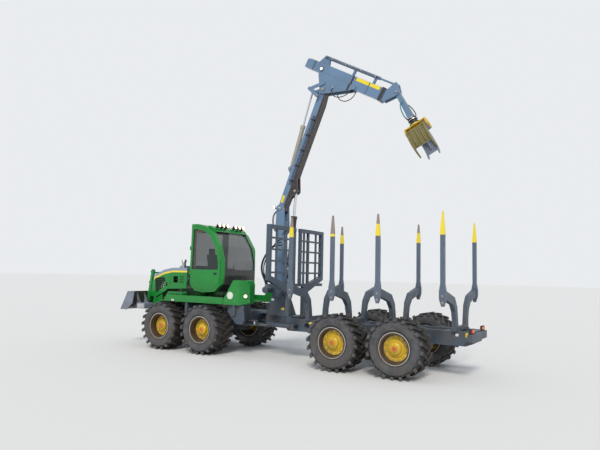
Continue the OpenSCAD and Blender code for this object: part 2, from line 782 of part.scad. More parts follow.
// Rear frame: the tube of the middle joint, its nose and two beams with cross-members
module rear_frame() {
    tail = tail_x - 60;
    tube_low = fork_low + fork_t + slip;
    tube_high = fork_high - fork_t - slip;
    place() color(SLATE) {
        difference() {
            union() {
                translate([0, 0, tube_low]) cylinder(r = joint_tube_r, h = tube_high - tube_low);
                translate([0, 0, tube_low + 20]) linear_extrude(height = tube_high - tube_low - 40)
                    polygon([[0, -95], [0, 95], [-220, 120], [-640, inner_y], [-900, side_y], [-1000, side_y],
                             [-1000, -side_y], [-900, -side_y], [-640, -inner_y], [-220, -120]]);
                for (s = [-1, 1]) {
                    low = s > 0 ? inner_y : -side_y;
                    across(low, low + beam_w)
                        polygon([[-860, frame_low + 60], [-860, frame_top], [-tail, frame_top],
                                 [-tail, frame_low + 60],
                                 [-tail + 150, frame_low], [-920, frame_low]]);
                }
                for (x = [1100, 2000, 2900, 4300, 5000])
                    block([-x - 100, -inner_y - 1, frame_low + 40], [-x, inner_y + 1, frame_top - 30]);
                block([-tail, -inner_y - 1, frame_low + 60], [-tail + 100, inner_y + 1, frame_top]);
                // rear bumper with its lamp boxes
                block([-tail_x, -700, 860], [-tail + 1, 700, 1030]);
                for (s = [-1, 1])
                    block([-tail - 1, s > 0 ? 560 : -700, 880], [-tail + 60, s > 0 ? 700 : -560, 1010]);
                // lugs that hold the steering cylinders
                for (s = [-1, 1]) for (z = [[808, 838], [902, 932]])
                    translate([-steer_x, s * steer_y, z[0]]) linear_extrude(height = z[1] - z[0])
                        hull() {
                            circle(r = 60);
                            translate([-60, -s * (steer_y - side_y + 1) - (s > 0 ? 0 : 20)])
                                square([120, 20]);
                        }
            }
            translate([0, 0, fork_low]) cylinder(r = joint_pin_r + slip, h = fork_high - fork_low);
            pin(-rear_bogie_x, hub_z, axle_r + fit, -side_y - over, side_y + over);
            for (x = [1500, 2450, 4700]) pin(-x, 900, 80, -side_y - over, side_y + over);
            for (s = [-1, 1]) translate([-steer_x, s * steer_y, 790]) cylinder(r = 25, h = 160);
        }
    }
}

// Steering cylinders beside the middle joint: barrel pinned to the rear frame, rod's eye to the front fork
steer_x = 1180;
steer_y = 640;
steer_z = 870;
eye_x = 190;
eye_y = 430;
steer_len = sqrt(pow(steer_x + eye_x, 2) + pow(steer_y - eye_y, 2));
steer_turn = atan2(steer_y - eye_y, steer_x + eye_x);
steer_barrel_l = 880;
steer_rod_l = 960;

// Places a piece drawn along X from the barrel's pin
module at_steer(s) {
    place() translate([-steer_x, s * steer_y, steer_z]) rotate([0, 0, -s * steer_turn]) children();
}

module steer_barrel(s) {
    at_steer(s) color(SLATE) difference() {
        union() {
            translate([0, 0, -31]) cylinder(r = 52, h = 62);
            translate([0, 0, -55]) cylinder(r = 25 - slip, h = 110);
            rotate([0, 90, 0]) cylinder(r = 29, h = 80);
            translate([72, 0, 0]) rotate([0, 90, 0]) cylinder(r = 55, h = steer_barrel_l - 72);
            rotate([0, 90, 0]) translate([0, 0, steer_barrel_l - 70]) cylinder(r = 64, h = 70);
        }
        rotate([0, 90, 0]) translate([0, 0, 90]) cylinder(r = 42, h = steer_barrel_l - 150);
        rotate([0, 90, 0]) translate([0, 0, 90]) cylinder(r = 28 + slip, h = steer_barrel_l);
    }
}

module steer_rod(s) {
    at_steer(s) color(CHROME) union() {
        rotate([0, 90, 0]) translate([0, 0, steer_len - steer_rod_l]) cylinder(r = 28, h = steer_rod_l - 30);
        translate([steer_len, 0, -32]) cylinder(r = 48, h = 64);
        rotate([0, 90, 0]) translate([0, 0, steer_len - steer_rod_l]) cylinder(r = 42 - slip, h = 50);
    }
}

module rear_axle() {
    axle_at(-rear_bogie_x);
}

module front_axle() {
    axle_at(front_bogie_x);
}

// Crane: base on the rear frame with the two rack housings that turn the pillar
base_top = 1960;
nose_top_z = fork_high - fork_t - slip - 20;
module crane_base() {
    place() color(SLATE) union() {
        hull() {
            translate([-slew_x - 330, -300, nose_top_z + fit]) cube([500, 600, 20]);
            translate([-slew_x - 200, -190, 1600]) cube([400, 380, 20]);
        }
        translate([-slew_x, 0, 1600]) cylinder(r = 235, h = base_top - 1600);
        for (s = [-1, 1]) pin(-slew_x + s * 215, 1790, 78, -460, 460);
        for (s = [-1, 1]) for (y = [-475, 425]) pin(-slew_x + s * 215, 1790, 92, y, y + 50);
        for (s = [-1, 1]) block([-slew_x + s * 215 - 60, -200, 1700], [-slew_x + s * 215 + 60, 200, 1880]);
    }
}

// Pillar that turns on the base and carries the boom's foot and the lift cylinder's foot
head_y = 105;
cheek_t = 42;
lift_foot = [-slew_x - 270, 2380];
lift_eye = [-slew_x - 431, foot_z + 483];
module crane_pillar() {
    place() color(SLATE) difference() {
        union() {
            translate([-slew_x, 0, base_top + slip]) cylinder(r = 225, h = 70);
            translate([-slew_x, 0, base_top + 60]) cylinder(r1 = 190, r2 = 135, h = 1640);
            both(head_y, head_y + cheek_t) arm2d([-slew_x, foot_z], [-slew_x, 3480], 125, 150);
            translate([-slew_x, 0, 3400]) cylinder(r = 150, h = 330);
            both(62, 62 + 40) hull() {
                translate(lift_foot) circle(r = 70);
                translate([-slew_x - 150, 2060]) square([60, 360]);
            }
        }
        pin(-slew_x, foot_z, pin_d / 2, -head_y - cheek_t - over, head_y + cheek_t + over);
        pin(lift_foot[0], lift_foot[1], foot_pin_r + fit, -200, 200);
    }
}

lift_run = lift_eye - lift_foot;
lift_len = norm(lift_run);
lift_turn = atan2(lift_run[1], lift_run[0]);
foot_pin_r = 26;
lift_barrel_l = 1480;
lift_rod_l = 1120;

// A cylinder's barrel along X from its pin, closed at its foot and bored for the piston
module barrel(len, r, bore, rod, eye_r, eye_t, foot_r, foot_y) {
    difference() {
        union() {
            rotate([90, 0, 0]) cylinder(r = foot_r, h = 2 * foot_y, center = true);
            rotate([90, 0, 0]) cylinder(r = eye_r, h = eye_t, center = true);
            rotate([0, 90, 0]) cylinder(r = eye_t / 2 - 2, h = eye_r + 50);
            translate([eye_r + 40, 0, 0]) rotate([0, 90, 0]) cylinder(r = r, h = len - eye_r - 40);
            rotate([0, 90, 0]) translate([0, 0, len - 90]) cylinder(r = r + 10, h = 90);
        }
        translate([eye_r + 60, 0, 0]) rotate([0, 90, 0]) cylinder(r = bore, h = len - eye_r - 130);
        translate([eye_r + 60, 0, 0]) rotate([0, 90, 0]) cylinder(r = rod + slip, h = len);
    }
}

// A rod along X with its piston inside the barrel and its eye at reach
module rod(reach, len, r, bore, eye_r, eye_t) {
    union() {
        rotate([0, 90, 0]) translate([0, 0, reach - len]) cylinder(r = r, h = len - eye_r / 2);
        rotate([0, 90, 0]) translate([0, 0, reach - len]) cylinder(r = bore - slip, h = 60);
        translate([reach, 0, 0]) rotate([90, 0, 0]) cylinder(r = eye_r, h = eye_t, center = true);
    }
}

// Turns a piece drawn along X into the crane's upright plane, from p at an angle above +X
module in_plane(p, angle) {
    place() translate([p[0], 0, p[1]]) rotate([0, -angle, 0]) children();
}

module lift_barrel() {
    in_plane(lift_foot, lift_turn) color(SLATE) barrel(lift_barrel_l, 80, 62, 40, 66, 122, foot_pin_r, 112);
}

module lift_rod() {
    in_plane(lift_foot, lift_turn) color(CHROME) rod(lift_len, lift_rod_l, 40, 62, 62, 84);
}

// Main boom, drawn along X from its foot pin, Y here up the boom's back
boom_angle = 90 + boom_lean;
half_b = boom_h / 2;
knuckle_foot = [1150, 192];
knuckle_eye = [boom_l - 78, 407];
along_boom = [cos(boom_angle), sin(boom_angle)];
up_boom = [sin(boom_angle), -cos(boom_angle)];
foot = [-slew_x, foot_z];
knee = foot + boom_l * along_boom;
function boom_point(p) = foot + p[0] * along_boom + p[1] * up_boom;
function in_boom(p) = [(p - foot) * along_boom, (p - foot) * up_boom];

// Puts an outline drawn in the boom's own X and Y into the upright plane
module boom_plate(y0, y1) {
    in_plane(foot, boom_angle) mirror([0, 0, 1]) across(y0, y1) children();
}

module main_boom() {
    eye = in_boom(lift_eye);
    color(SLATE) union() {
        difference() {
            union() {
                boom_plate(-boom_w / 2, boom_w / 2)
                    polygon([[60, -half_b + 10], [60, half_b - 20], [900, half_b], [boom_l - 300, half_b],
                             [boom_l - 60, half_b - 40], [boom_l - 60, -half_b + 40], [boom_l - 400, -half_b],
                             [1200, -half_b], [700, -half_b - 10]]);
                boom_plate(-head_y + slip, head_y - slip) circle(r = 128);
                boom_plate(-knee_y + slip, knee_y - slip) translate([boom_l, 0]) circle(r = 118);
                boom_plate(48, 48 + 40) lift_lug(eye);
                boom_plate(-88, -48) lift_lug(eye);
                boom_plate(48, 84) knuckle_lug();
                boom_plate(-84, -48) knuckle_lug();
            }
            in_plane(boom_point(link_pin), 0) rotate([90, 0, 0])
                cylinder(r = link_pin_r + slip, h = 600, center = true);
            in_plane(boom_point(knuckle_foot), 0) rotate([90, 0, 0])
                cylinder(r = foot_pin_r + fit, h = 300, center = true);
            // room for the lift rod's eye in the box's underside
            in_plane(lift_eye, 0) rotate([90, 0, 0]) cylinder(r = 112, h = 96, center = true);
        }
        for (p = [foot, knee]) in_plane(p, 0) rotate([90, 0, 0])
            cylinder(r = pin_d / 2 - slip, h = 2 * (head_y + cheek_t) + 30, center = true);
    }
}

module lift_lug(eye) {
    hull() {
        translate(eye) circle(r = 92);
        translate([eye[0] - 240, -half_b - 8]) square([640, 60]);
    }
}

module knuckle_lug() {
    hull() {
        translate(knuckle_foot) circle(r = 62);
        translate([knuckle_foot[0] - 150, half_b - 60]) square([230, 58]);
    }
}

link_pin = [boom_l - 211, 87];
jib_pin = [863, 361];
knuckle_run = boom_point(knuckle_eye) - boom_point(knuckle_foot);
knuckle_len = norm(knuckle_run);
knuckle_turn = atan2(knuckle_run[1], knuckle_run[0]);
knuckle_barrel_l = boom_l - 2238;
knuckle_rod_l = knuckle_barrel_l + 100;

module knuckle_barrel() {
    in_plane(boom_point(knuckle_foot), knuckle_turn) color(SLATE)
        barrel(knuckle_barrel_l, 62, 46, 32, 52, 94, foot_pin_r, 96);
}

module knuckle_rod() {
    in_plane(boom_point(knuckle_foot), knuckle_turn) color(CHROME)
        rod(knuckle_len, knuckle_rod_l, 32, 46, 50, 80);
}

// Gussets of the outer boom, on both sides of the main boom's tip
knee_y = boom_w / 2 + run;
gusset_t = 38;

// Links from the knuckle rod's eye to the main boom's tip and to the outer boom, held by their own pins
link_t = 26;
link_pin_r = 30;
jib_link_y = knee_y + gusset_t + run;
boom_link_y = jib_link_y + link_t + run;
rod_eye_y = 46;

module boom_link() {
    a = boom_point(link_pin);
    b = boom_point(knuckle_eye);
    place() color(SLATE) union() {
        both(boom_link_y, boom_link_y + link_t) arm2d(a, b, 50, 50);
        pin(a[0], a[1], link_pin_r, -boom_link_y - link_t - 12, boom_link_y + link_t + 12);
        both(boom_link_y + link_t - 1, boom_link_y + link_t + 12) translate(b) circle(r = link_pin_r);
    }
}

module jib_link() {
    a = jib_point(jib_pin);
    b = boom_point(knuckle_eye);
    place() color(SLATE) union() {
        both(jib_link_y, jib_link_y + link_t) arm2d(a, b, 46, 46);
        pin(a[0], a[1], link_pin_r, -jib_link_y - 1, jib_link_y + 1);
        both(rod_eye_y, jib_link_y + 1) translate(b) circle(r = 40);
    }
}

// Outer boom, drawn along X from its rear cap, its box's axis on X and Y down
jib_angle = 180 + jib_fall;
along_jib = [cos(jib_angle), sin(jib_angle)];
up_jib = [sin(jib_angle), -cos(jib_angle)];
knee_u = 931;
jib_cap = knee - knee_u * along_jib + knee_drop * up_jib;
function jib_point(p) = jib_cap + p[0] * along_jib - p[1] * up_jib;
jib_wall = 14;
jib_mid = -35;
module jib_plate(y0, y1) {
    in_plane(jib_cap, jib_angle) across(y0, y1) children();
}

// Cylinder of the telescope along the box's back
tele_v = -jib_mid - jib_h / 2 - 200;
tele_barrel = [560, jib_l - 340];
tele_r = 46;

module outer_boom() {
    half = jib_h / 2;
    side = jib_w / 2;
    top = -jib_mid - half;
    low = -jib_mid + half;
    color(SLATE) difference() {
        union() {
            difference() {
                jib_plate(-side, side)
                    polygon([[0, top + 30], [0, low - 61], [560, low - 64], [760, low], [jib_l, low],
                             [jib_l, top], [120, top]]);
                jib_plate(-side + jib_wall, side - jib_wall)
                    polygon([[74, top + 44], [74, low - 76], [550, low - 79], [770, low - jib_wall],
                             [jib_l + over, low - jib_wall],
                             [jib_l + over, top + jib_wall], [130, top + jib_wall]]);
            }
            // gussets down to the knee pin
            for (s = [-1, 1])
                jib_plate(s > 0 ? knee_y : -knee_y - gusset_t, s > 0 ? knee_y + gusset_t : -knee_y)
                hull() {
                    translate([knee_u, knee_drop]) circle(r = 115);
                    translate([560, low - 80]) square([1280, 60]);
                }
            // collar at the mouth
            difference() {
                jib_plate(-side - 18, side + 18) translate([jib_l - 90, top - 18]) square([90, jib_h + 36]);
                jib_plate(-side + jib_wall, side - jib_wall)
                    translate([0, top + jib_wall]) square([jib_l + over, jib_h - 2 * jib_wall]);
            }
            // brackets and barrel of the telescope cylinder
            jib_plate(-40, 40)
                polygon([[470, tele_v - 40], [620, tele_v - 40], [700, top + 4], [340, top + 4]]);
            for (u = [jib_l - 1160, jib_l - 480]) jib_plate(-30, 30) translate([u, tele_v]) square([60, top - tele_v + 4]);
            in_plane(jib_cap, jib_angle) translate([tele_barrel[0], 0, tele_v]) rotate([0, 90, 0])
                cylinder(r = tele_r, h = tele_barrel[1] - tele_barrel[0]);
        }
        in_plane(jib_cap, jib_angle) translate([tele_barrel[0] + 80, 0, tele_v]) rotate([0, 90, 0])
            cylinder(r = tele_rod_r + slip, h = tele_barrel[1]);
        in_plane(knee, 0) rotate([90, 0, 0]) cylinder(r = pin_d / 2 + slip, h = 600, center = true);
        in_plane(jib_point(jib_pin), 0) rotate([90, 0, 0])
            cylinder(r = link_pin_r + slip, h = 600, center = true);
    }
}

// Telescope: the inner box with its head, the hanger's pin and the rod of its cylinder
tele_gap = 6;
tele_rod_r = 26;
tip_u = jib_l + 307;
tip_v = -158;
tip_y = 62;
tip_bore = pin_d / 2 - 5;

module telescope() {
    half = jib_h / 2 - jib_wall - tele_gap;
    side = jib_w / 2 - jib_wall - tele_gap;
    end_u = jib_l + 190;
    color(SLATE) difference() {
        union() {
            jib_plate(-side, side) translate([760, -jib_mid - half]) square([jib_l + 60 - 760, 2 * half]);
            for (s = [-1, 1]) jib_plate(s > 0 ? tip_y : -tip_y - 40, s > 0 ? tip_y + 40 : -tip_y) hull() {
                translate([tip_u, tip_v]) circle(r = 78);
                translate([jib_l + 30, -jib_mid - half]) square([60, 2 * half]);
                translate([end_u, tele_v]) circle(r = 50);
            }
            jib_plate(-tip_y - 1, tip_y + 1) translate([jib_l + 25, -jib_mid - half]) square([60, 2 * half]);
            jib_plate(-tip_y - 1, tip_y + 1) translate([end_u, tele_v]) circle(r = 45);
            in_plane(jib_cap, jib_angle) translate([tele_barrel[0] + 140, 0, tele_v]) rotate([0, 90, 0])
                cylinder(r = tele_rod_r, h = end_u - tele_barrel[0] - 140);
        }
        in_plane(tip, 0) rotate([90, 0, 0]) cylinder(r = tip_bore, h = 600, center = true);
    }
}

// Hanger: a link that hangs from the boom's tip and carries the rotator
hanger_angle = -118;
tip = jib_cap + tip_u * along_jib - tip_v * up_jib;
hang_end = tip + hanger_l * [cos(hanger_angle), sin(hanger_angle)];

module hanger() {
    color(SLATE) union() {
        in_plane(tip, hanger_angle) rotate([90, 0, 0])
            cylinder(r = tip_bore - slip, h = 2 * tip_y + 110, center = true);
        in_plane(tip, hanger_angle) across(-tip_y + slip, tip_y - slip) arm2d([0, 0], [170, 0], 66, 60);
        for (s = [-1, 1]) in_plane(tip, hanger_angle) across(s > 0 ? 22 : -58, s > 0 ? 58 : -22)
            arm2d([120, 0], [hanger_l - 90, 0], 62, 78);
        in_plane(tip, hanger_angle) across(-80, 80) arm2d([hanger_l - 170, 0], [hanger_l - 90, 0], 70, 80);
        in_plane(tip, hanger_angle) translate([hanger_l - 20, 0, 0]) rotate([0, 90, 0])
            cylinder(r = 105, h = 20);
    }
}

// Rotator: drawn along X below the hanger
module rotator() {
    in_plane(hang_end, hanger_angle) color(BLACK) union() {
        translate([slip, 0, 0]) rotate([0, 90, 0]) cylinder(r = 118, h = 40);
        translate([35, 0, 0]) rotate([0, 90, 0]) cylinder(r = 100, h = 120);
        translate([150, 0, 0]) rotate([0, 90, 0]) cylinder(r = 140, h = 30);
    }
}

// Grapple: drawn along X below the rotator, its jaw pins along Y, which the turn lays along the machine
grapple_turn = -90;
head_x = 181;
head_t = 30;
module at_grapple() {
    in_plane(hang_end, hanger_angle) rotate([grapple_turn, 0, 0]) children();
}

jaw_x = head_x + 190;
jaw_z = jaw_pins / 2;
module grapple_head() {
    half = head_w / 2;
    at_grapple() color(YELLOW) union() {
        translate([head_x - fit, 0, 0]) rotate([0, 90, 0]) cylinder(r = 140, h = 36);
        // arched end plates that hold the pins
        for (s = [-1, 1]) across(s > 0 ? half - head_t : -half, s > 0 ? half : -half + head_t) difference() {
            hull() {
                translate([head_x + 10, -110]) square([26, 220]);
                for (e = [-1, 1]) translate([jaw_x, e * jaw_z]) circle(r = 58);
            }
            translate([jaw_x + 25, 0]) circle(r = 92);
        }
        across(1 - half, half - 1) translate([head_x + 10, -110]) square([26, 220]);
        for (s = [-1, 1]) pin(jaw_x, s * jaw_z, 34, -half, half);
        pin(head_x + 72, 0, 38, 1 - half, half - 1);
        for (y = [-170, 130]) across(y, y + 40)
            polygon([[head_x + 30, -100], [head_x + 30, 100], [head_x + 80, 50], [head_x + 80, -50]]);
    }
}

// A jaw's outline from its pin: X down the grapple, Y outward. The back bulges out and comes in to the tip
module tine_back() {
    intersection() {
        difference() {
            translate([jaw_h * 0.42, -jaw_h * 0.24]) circle(r = jaw_h * 0.62, $fn = 96);
            translate([jaw_h * 0.50, -jaw_h * 0.40]) circle(r = jaw_h * 0.60, $fn = 96);
        }
        polygon([[-60, 0], [-60, jaw_h], [jaw_h * 1.2, jaw_h], [jaw_h * 1.2, 60], [jaw_h * 0.9, 60],
                 [200, 0]]);
    }
}

module tine_outline() {
    difference() {
        union() {
            tine_back();
            hull() {
                circle(r = 72);
                translate([60, 130]) circle(r = 60);
            }
        }
        circle(r = 34 + slip);
    }
}

// A jaw: its side, its two tines' places along the pins, its ribs' places and how far the back plate reaches
module jaw(s, tines, ribs, reach) {
    last = tines[1];
    half = head_w / 2 - head_t - run;
    at_grapple() translate([jaw_x, 0, s * jaw_z]) color(SLATE) union() {
        for (y = tines) across(y - tine_t / 2, y + tine_t / 2) on_side(s) tine_outline();
        for (y = ribs) across(y - rib_t / 2, y + rib_t / 2) on_side(s) intersection() {
            tine_back();
            polygon([[40, 60], [jaw_h * 0.62, 60], [jaw_h * 0.62, jaw_h], [40, jaw_h]]);
        }
        // back plate between the tines, inside the ribs' outer edges
        across(-last, last) on_side(s) intersection() {
            difference() {
                translate([jaw_h * 0.42, -jaw_h * 0.24]) circle(r = jaw_h * 0.57, $fn = 96);
                translate([jaw_h * 0.42, -jaw_h * 0.24]) circle(r = jaw_h * 0.535, $fn = 96);
            }
            polygon([[60, 60], [reach, 60], [reach, jaw_h], [60, jaw_h]]);
        }
        across(-half, half) difference() {
            circle(r = 68);
            circle(r = 34 + slip);
        }
    }
}
tine_t = 34;
rib_t = 22;

module on_side(s) {
    mirror([0, s > 0 ? 0 : 1]) children();
}

module jaw_left() {
    jaw(1, [-236, 236], [-118, 0, 118], jaw_h * 0.66);
}

module jaw_right() {
    jaw(-1, [-150, 150], [0], jaw_h * 0.78);
}

// Headboard between the crane and the load
gate_x = 815;
gate_gap = 130;
module headboard() {
    half = stake_span / 2;
    place() color(SLATE) translate([-gate_x, 0, 0]) union() {
        for (s = [-1, 1]) {
            block([-110, s > 0 ? 330 : -450, nose_top_z + fit], [0, s > 0 ? 450 : -330, 1900]);
            rotate([90, 0, 90]) translate([0, 0, -110]) linear_extrude(height = 110)
                polygon([[s * 330, 1780], [s * 450, 1700], [s * half, 2080], [s * half, 2220],
                         [s * 330, 1900]]);
            block([-110, s > 0 ? half - 110 : -half, 2100], [0, s > 0 ? half : -half + 110, gate_top]);
            block([-90, s > 0 ? 560 : -620, 1900], [-20, s > 0 ? 620 : -560, gate_top - 40]);
        }
        // bars of both halves, with a gap for the crane's lift cylinder between them
        for (s = [-1, 1]) {
            block([-110, s > 0 ? gate_gap : -half + 1, gate_top - 100],
                  [0, s > 0 ? half - 1 : -gate_gap, gate_top]);
            block([-100, s > 0 ? gate_gap : -gate_gap - 60, 1900],
                  [-10, s > 0 ? gate_gap + 60 : -gate_gap, gate_top - 1]);
            for (z = [2250 : 300 : 3300])
                block([-80, s > 0 ? gate_gap + 1 : -half + 20, z],
                      [-40, s > 0 ? half - 20 : -gate_gap - 1, z + 50]);
            for (y = [330, 1000])
                block([-80, s > 0 ? y : -y - 60, 1900], [-40, s > 0 ? y + 60 : -y, gate_top - 40]);
        }
        block([-90, -half + 1, 1900], [-20, half - 1, 1980]);
    }
}

// Bunks along the rear frame: distance behind the middle joint
BUNKS = [1560, 2720, 3880, 5360];

module bunks() {
    half = stake_span / 2 - stake_t;
    place() color(SLATE) for (x = BUNKS) translate([-x - stake_w / 2, 0, 0]) union() {
        rotate([90, 0, 90]) linear_extrude(height = stake_w) for (s = [-1, 1])
            polygon([[s * 540, frame_top + fit], [s * 340, frame_top + fit], [s * 380, 1330], [s * 440, 1600],
                     [s * 640, 1820], [s * half, 1985], [s * half, 1800], [s * 760, 1660],
                         [s * 600, 1500], [s * 540, 1300]]);
        block([0, -400, frame_top + fit], [stake_w, 400, frame_top + 90]);
        for (s = [-1, 1]) block([-40, s > 0 ? 330 : -470, frame_top + fit],
                                [stake_w + 40, s > 0 ? 470 : -330, frame_top + 30]);
    }
}

module stakes() {
    half = stake_span / 2;
    place() color(SLATE) for (x = BUNKS) for (s = [-1, 1])
        translate([-x - stake_w / 2, 0, 0])
            across(s > 0 ? half - stake_t + fit : -half, s > 0 ? half : -half + stake_t - fit)
            polygon([[20, 1640], [stake_w - 20, 1640], [stake_w + 28, 1800], [stake_w + 28, 1960],
                     [stake_w, 2120],
                     [stake_w, stake_top - 420], [stake_w * 0.62, stake_top], [stake_w * 0.38, stake_top],
                     [0, stake_top - 420], [0, 2120], [-28, 1960], [-28, 1800]]);
}

front_frame();
front_axle();
engine_block();
side_sills();
tanks();
cab_turntable();
stack();
rear_cowl();
hood_shell();
hood_grille();
front_guard();
blade_arms();
blade();
cab_shell();
cab_glass();
cab_seat();
cab_lamps();
door_frame();
door_glass();
rear_frame();
rear_axle();
crane_base();
headboard();
bunks();
stakes();
steer_barrel(1);  // steer_barrel_left
steer_rod(1);  // steer_rod_left
steer_barrel(-1);  // steer_barrel_right
steer_rod(-1);  // steer_rod_right
crane_pillar();
lift_barrel();
lift_rod();
main_boom();
knuckle_barrel();
knuckle_rod();
boom_link();
jib_link();
outer_boom();
telescope();
hanger();
rotator();
grapple_head();
jaw_left();
jaw_right();
tyre(0, 1);  // tyre_1_left
tyre(1, 1);  // tyre_2_left
tyre(2, 1);  // tyre_3_left
tyre(3, 1);  // tyre_4_left
tyre(0, -1);  // tyre_1_right
tyre(1, -1);  // tyre_2_right
tyre(2, -1);  // tyre_3_right
tyre(3, -1);  // tyre_4_right
rim(0, 1);  // rim_1_left
rim(1, 1);  // rim_2_left
rim(2, 1);  // rim_3_left
rim(3, 1);  // rim_4_left
rim(0, -1);  // rim_1_right
rim(1, -1);  // rim_2_right
rim(2, -1);  // rim_3_right
rim(3, -1);  // rim_4_right
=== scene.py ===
# %% [markdown]
# # A forestry forwarder, dressed
# The construction arrives packed and stays as it is. Everything below gives it its finishes and the small
# pieces that a machine like this carries: nuts, pins' caps, hoses, rails, lamps, a seat. Lengths are metres,
# X points forward, Y to the left and Z up, with the ground at Z = 0 under the middle of the machine.

# %% Frame
import math

import bmesh
import bpy
from mathutils import Matrix, Vector


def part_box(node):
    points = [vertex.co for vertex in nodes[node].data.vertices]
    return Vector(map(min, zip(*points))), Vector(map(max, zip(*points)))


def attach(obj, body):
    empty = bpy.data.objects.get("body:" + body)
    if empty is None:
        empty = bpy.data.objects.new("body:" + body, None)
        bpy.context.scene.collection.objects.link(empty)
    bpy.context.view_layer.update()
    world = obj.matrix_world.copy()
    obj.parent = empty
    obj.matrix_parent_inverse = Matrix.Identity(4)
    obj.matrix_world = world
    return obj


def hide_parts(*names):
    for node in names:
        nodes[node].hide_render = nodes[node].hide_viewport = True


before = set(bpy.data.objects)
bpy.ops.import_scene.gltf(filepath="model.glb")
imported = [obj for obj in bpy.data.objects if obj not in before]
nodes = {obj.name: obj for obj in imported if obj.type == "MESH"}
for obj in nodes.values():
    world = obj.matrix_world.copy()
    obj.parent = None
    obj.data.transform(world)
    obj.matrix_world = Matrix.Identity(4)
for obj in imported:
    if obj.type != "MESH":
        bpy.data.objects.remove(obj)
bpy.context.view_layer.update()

# %% [markdown]
# ## Places
# The machine was drawn from its middle joint, so the same distances are used here: `at` turns a distance from
# that joint into a point of the frame. The joint lies in front of the frame's origin, because the rear half is
# longer. The wheels' centres are read from the frame itself.

# %% Places
JOINT_X = 0.55


def at(x, y, z):
    return Vector((x + JOINT_X, y, z))


def middle(name):
    low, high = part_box(name)
    return (Vector(low) + Vector(high)) / 2


def toward(point, direction):
    turn = Vector((0, 0, 1)).rotation_difference(Vector(direction)).to_matrix().to_4x4()
    return Matrix.Translation(point) @ turn


SIDES = {"left": 1, "right": -1}
WHEELS = {(n, side): middle(f"tyre_{n}_{side}") for n in (1, 2, 3, 4) for side in SIDES}
print("wheels:", {key: [round(c, 3) for c in point] for key, point in WHEELS.items()})

# %% [markdown]
# ## Writing a finish
# Every finish is a small tree of nodes on one glossy shader. A short helper adds a node, sets what is given as
# a plain value and links what is given as an output, so that a finish reads as a list of its steps.

# %% Node helper
def fill(tree, node, **inputs):
    for key, value in inputs.items():
        counted = key[0] == "i" and key[1:].isdigit()
        socket = node.inputs[int(key[1:]) if counted else key.replace("_", " ")]
        if isinstance(value, bpy.types.NodeSocket):
            tree.links.new(value, socket)
        else:
            socket.default_value = value
    return node


def add(tree, kind, settings=None, **inputs):
    node = tree.nodes.new(kind)
    for key, value in (settings or {}).items():
        setattr(node, key, value)
    return fill(tree, node, **inputs)


def number(tree, operation, *values):
    node = add(tree, "ShaderNodeMath", {"operation": operation}, **{f"i{i}": v for i, v in enumerate(values)})
    return node.outputs[0]


def mix(tree, share, first, second):
    first, second = (c if isinstance(c, bpy.types.NodeSocket) else (*c, 1) for c in (first, second))
    return add(tree, "ShaderNodeMix", {"data_type": "RGBA"}, i0=share, i6=first, i7=second).outputs[2]


def remap(tree, value, low, high, to_low=0.0, to_high=1.0):
    node = add(tree, "ShaderNodeMapRange", Value=value, From_Min=low, From_Max=high, To_Min=to_low, To_Max=to_high)
    return node.outputs[0]


def above(tree, value, edge):
    return number(tree, "GREATER_THAN", value, edge)


def below(tree, value, edge):
    return number(tree, "LESS_THAN", value, edge)


def both(tree, first, second):
    return number(tree, "MULTIPLY", first, second)


def between(tree, value, low, high):
    return both(tree, above(tree, value, low), below(tree, value, high))


def noise(tree, place, scale, detail, roughness=0.5):
    return add(tree, "ShaderNodeTexNoise", Vector=place, Scale=scale, Detail=detail, Roughness=roughness).outputs[0]


def parts(tree, vector):
    return add(tree, "ShaderNodeSeparateXYZ", Vector=vector).outputs


def away(tree, place, point):
    return add(tree, "ShaderNodeVectorMath", {"operation": "SUBTRACT"}, i0=place, i1=point).outputs[0]


def dot(tree, first, second):
    return add(tree, "ShaderNodeVectorMath", {"operation": "DOT_PRODUCT"}, i0=first, i1=second).outputs["Value"]


def new_material(name):
    material = bpy.data.materials.new(name)
    material.use_nodes = True
    tree = material.node_tree
    return material, tree, tree.nodes["Principled BSDF"], add(tree, "ShaderNodeTexCoord").outputs["Object"]


print("finishes are written as steps on one shader")

# %% [markdown]
# ## The crane's plane
# Every crane piece lies in one upright plane. A point and an angle above level give a matrix whose X runs
# along the piece and whose Z is square to it in that plane, so that caps and hoses are placed along a boom as
# on a drawing of that boom alone.

# %% Crane's plane
BOOM_LEAN = 22
JIB_FALL = 29
HANGER_ANGLE = -118
FOOT = (-0.37, 4.077)
BOOM_LENGTH = 3.498
KNEE_UP = (0.931, 0.519)
JIB_TIP = (2.967, -0.158)


def in_plane(point, angle):
    return Matrix.Translation(at(point[0], 0, point[1])) @ Matrix.Rotation(-math.radians(angle), 4, "Y")


def drawn(point):
    return (point.x - JOINT_X, point.z)


boom = in_plane(FOOT, 90 + BOOM_LEAN)
knee_point = boom @ Vector((BOOM_LENGTH, 0, 0))
jib_turn = in_plane((0, 0), 180 + JIB_FALL).to_3x3()
cap_point = knee_point - jib_turn @ Vector((KNEE_UP[0], 0, KNEE_UP[1]))
jib = in_plane(drawn(cap_point), 180 + JIB_FALL)
tip_point = jib @ Vector((JIB_TIP[0], 0, JIB_TIP[1]))
hanger = in_plane(drawn(tip_point), HANGER_ANGLE)
print("knee", [round(c, 3) for c in knee_point], "tip", [round(c, 3) for c in tip_point])

# %% [markdown]
# ## Camera, floor and light
# The picture was taken from the left rear at eye height, looking slightly up. The camera stands where straight
# edges of the machine meet their places in the picture. A pale floor and an even sky light the machine softly,
# with one broad sun from the camera's left to model the forms.

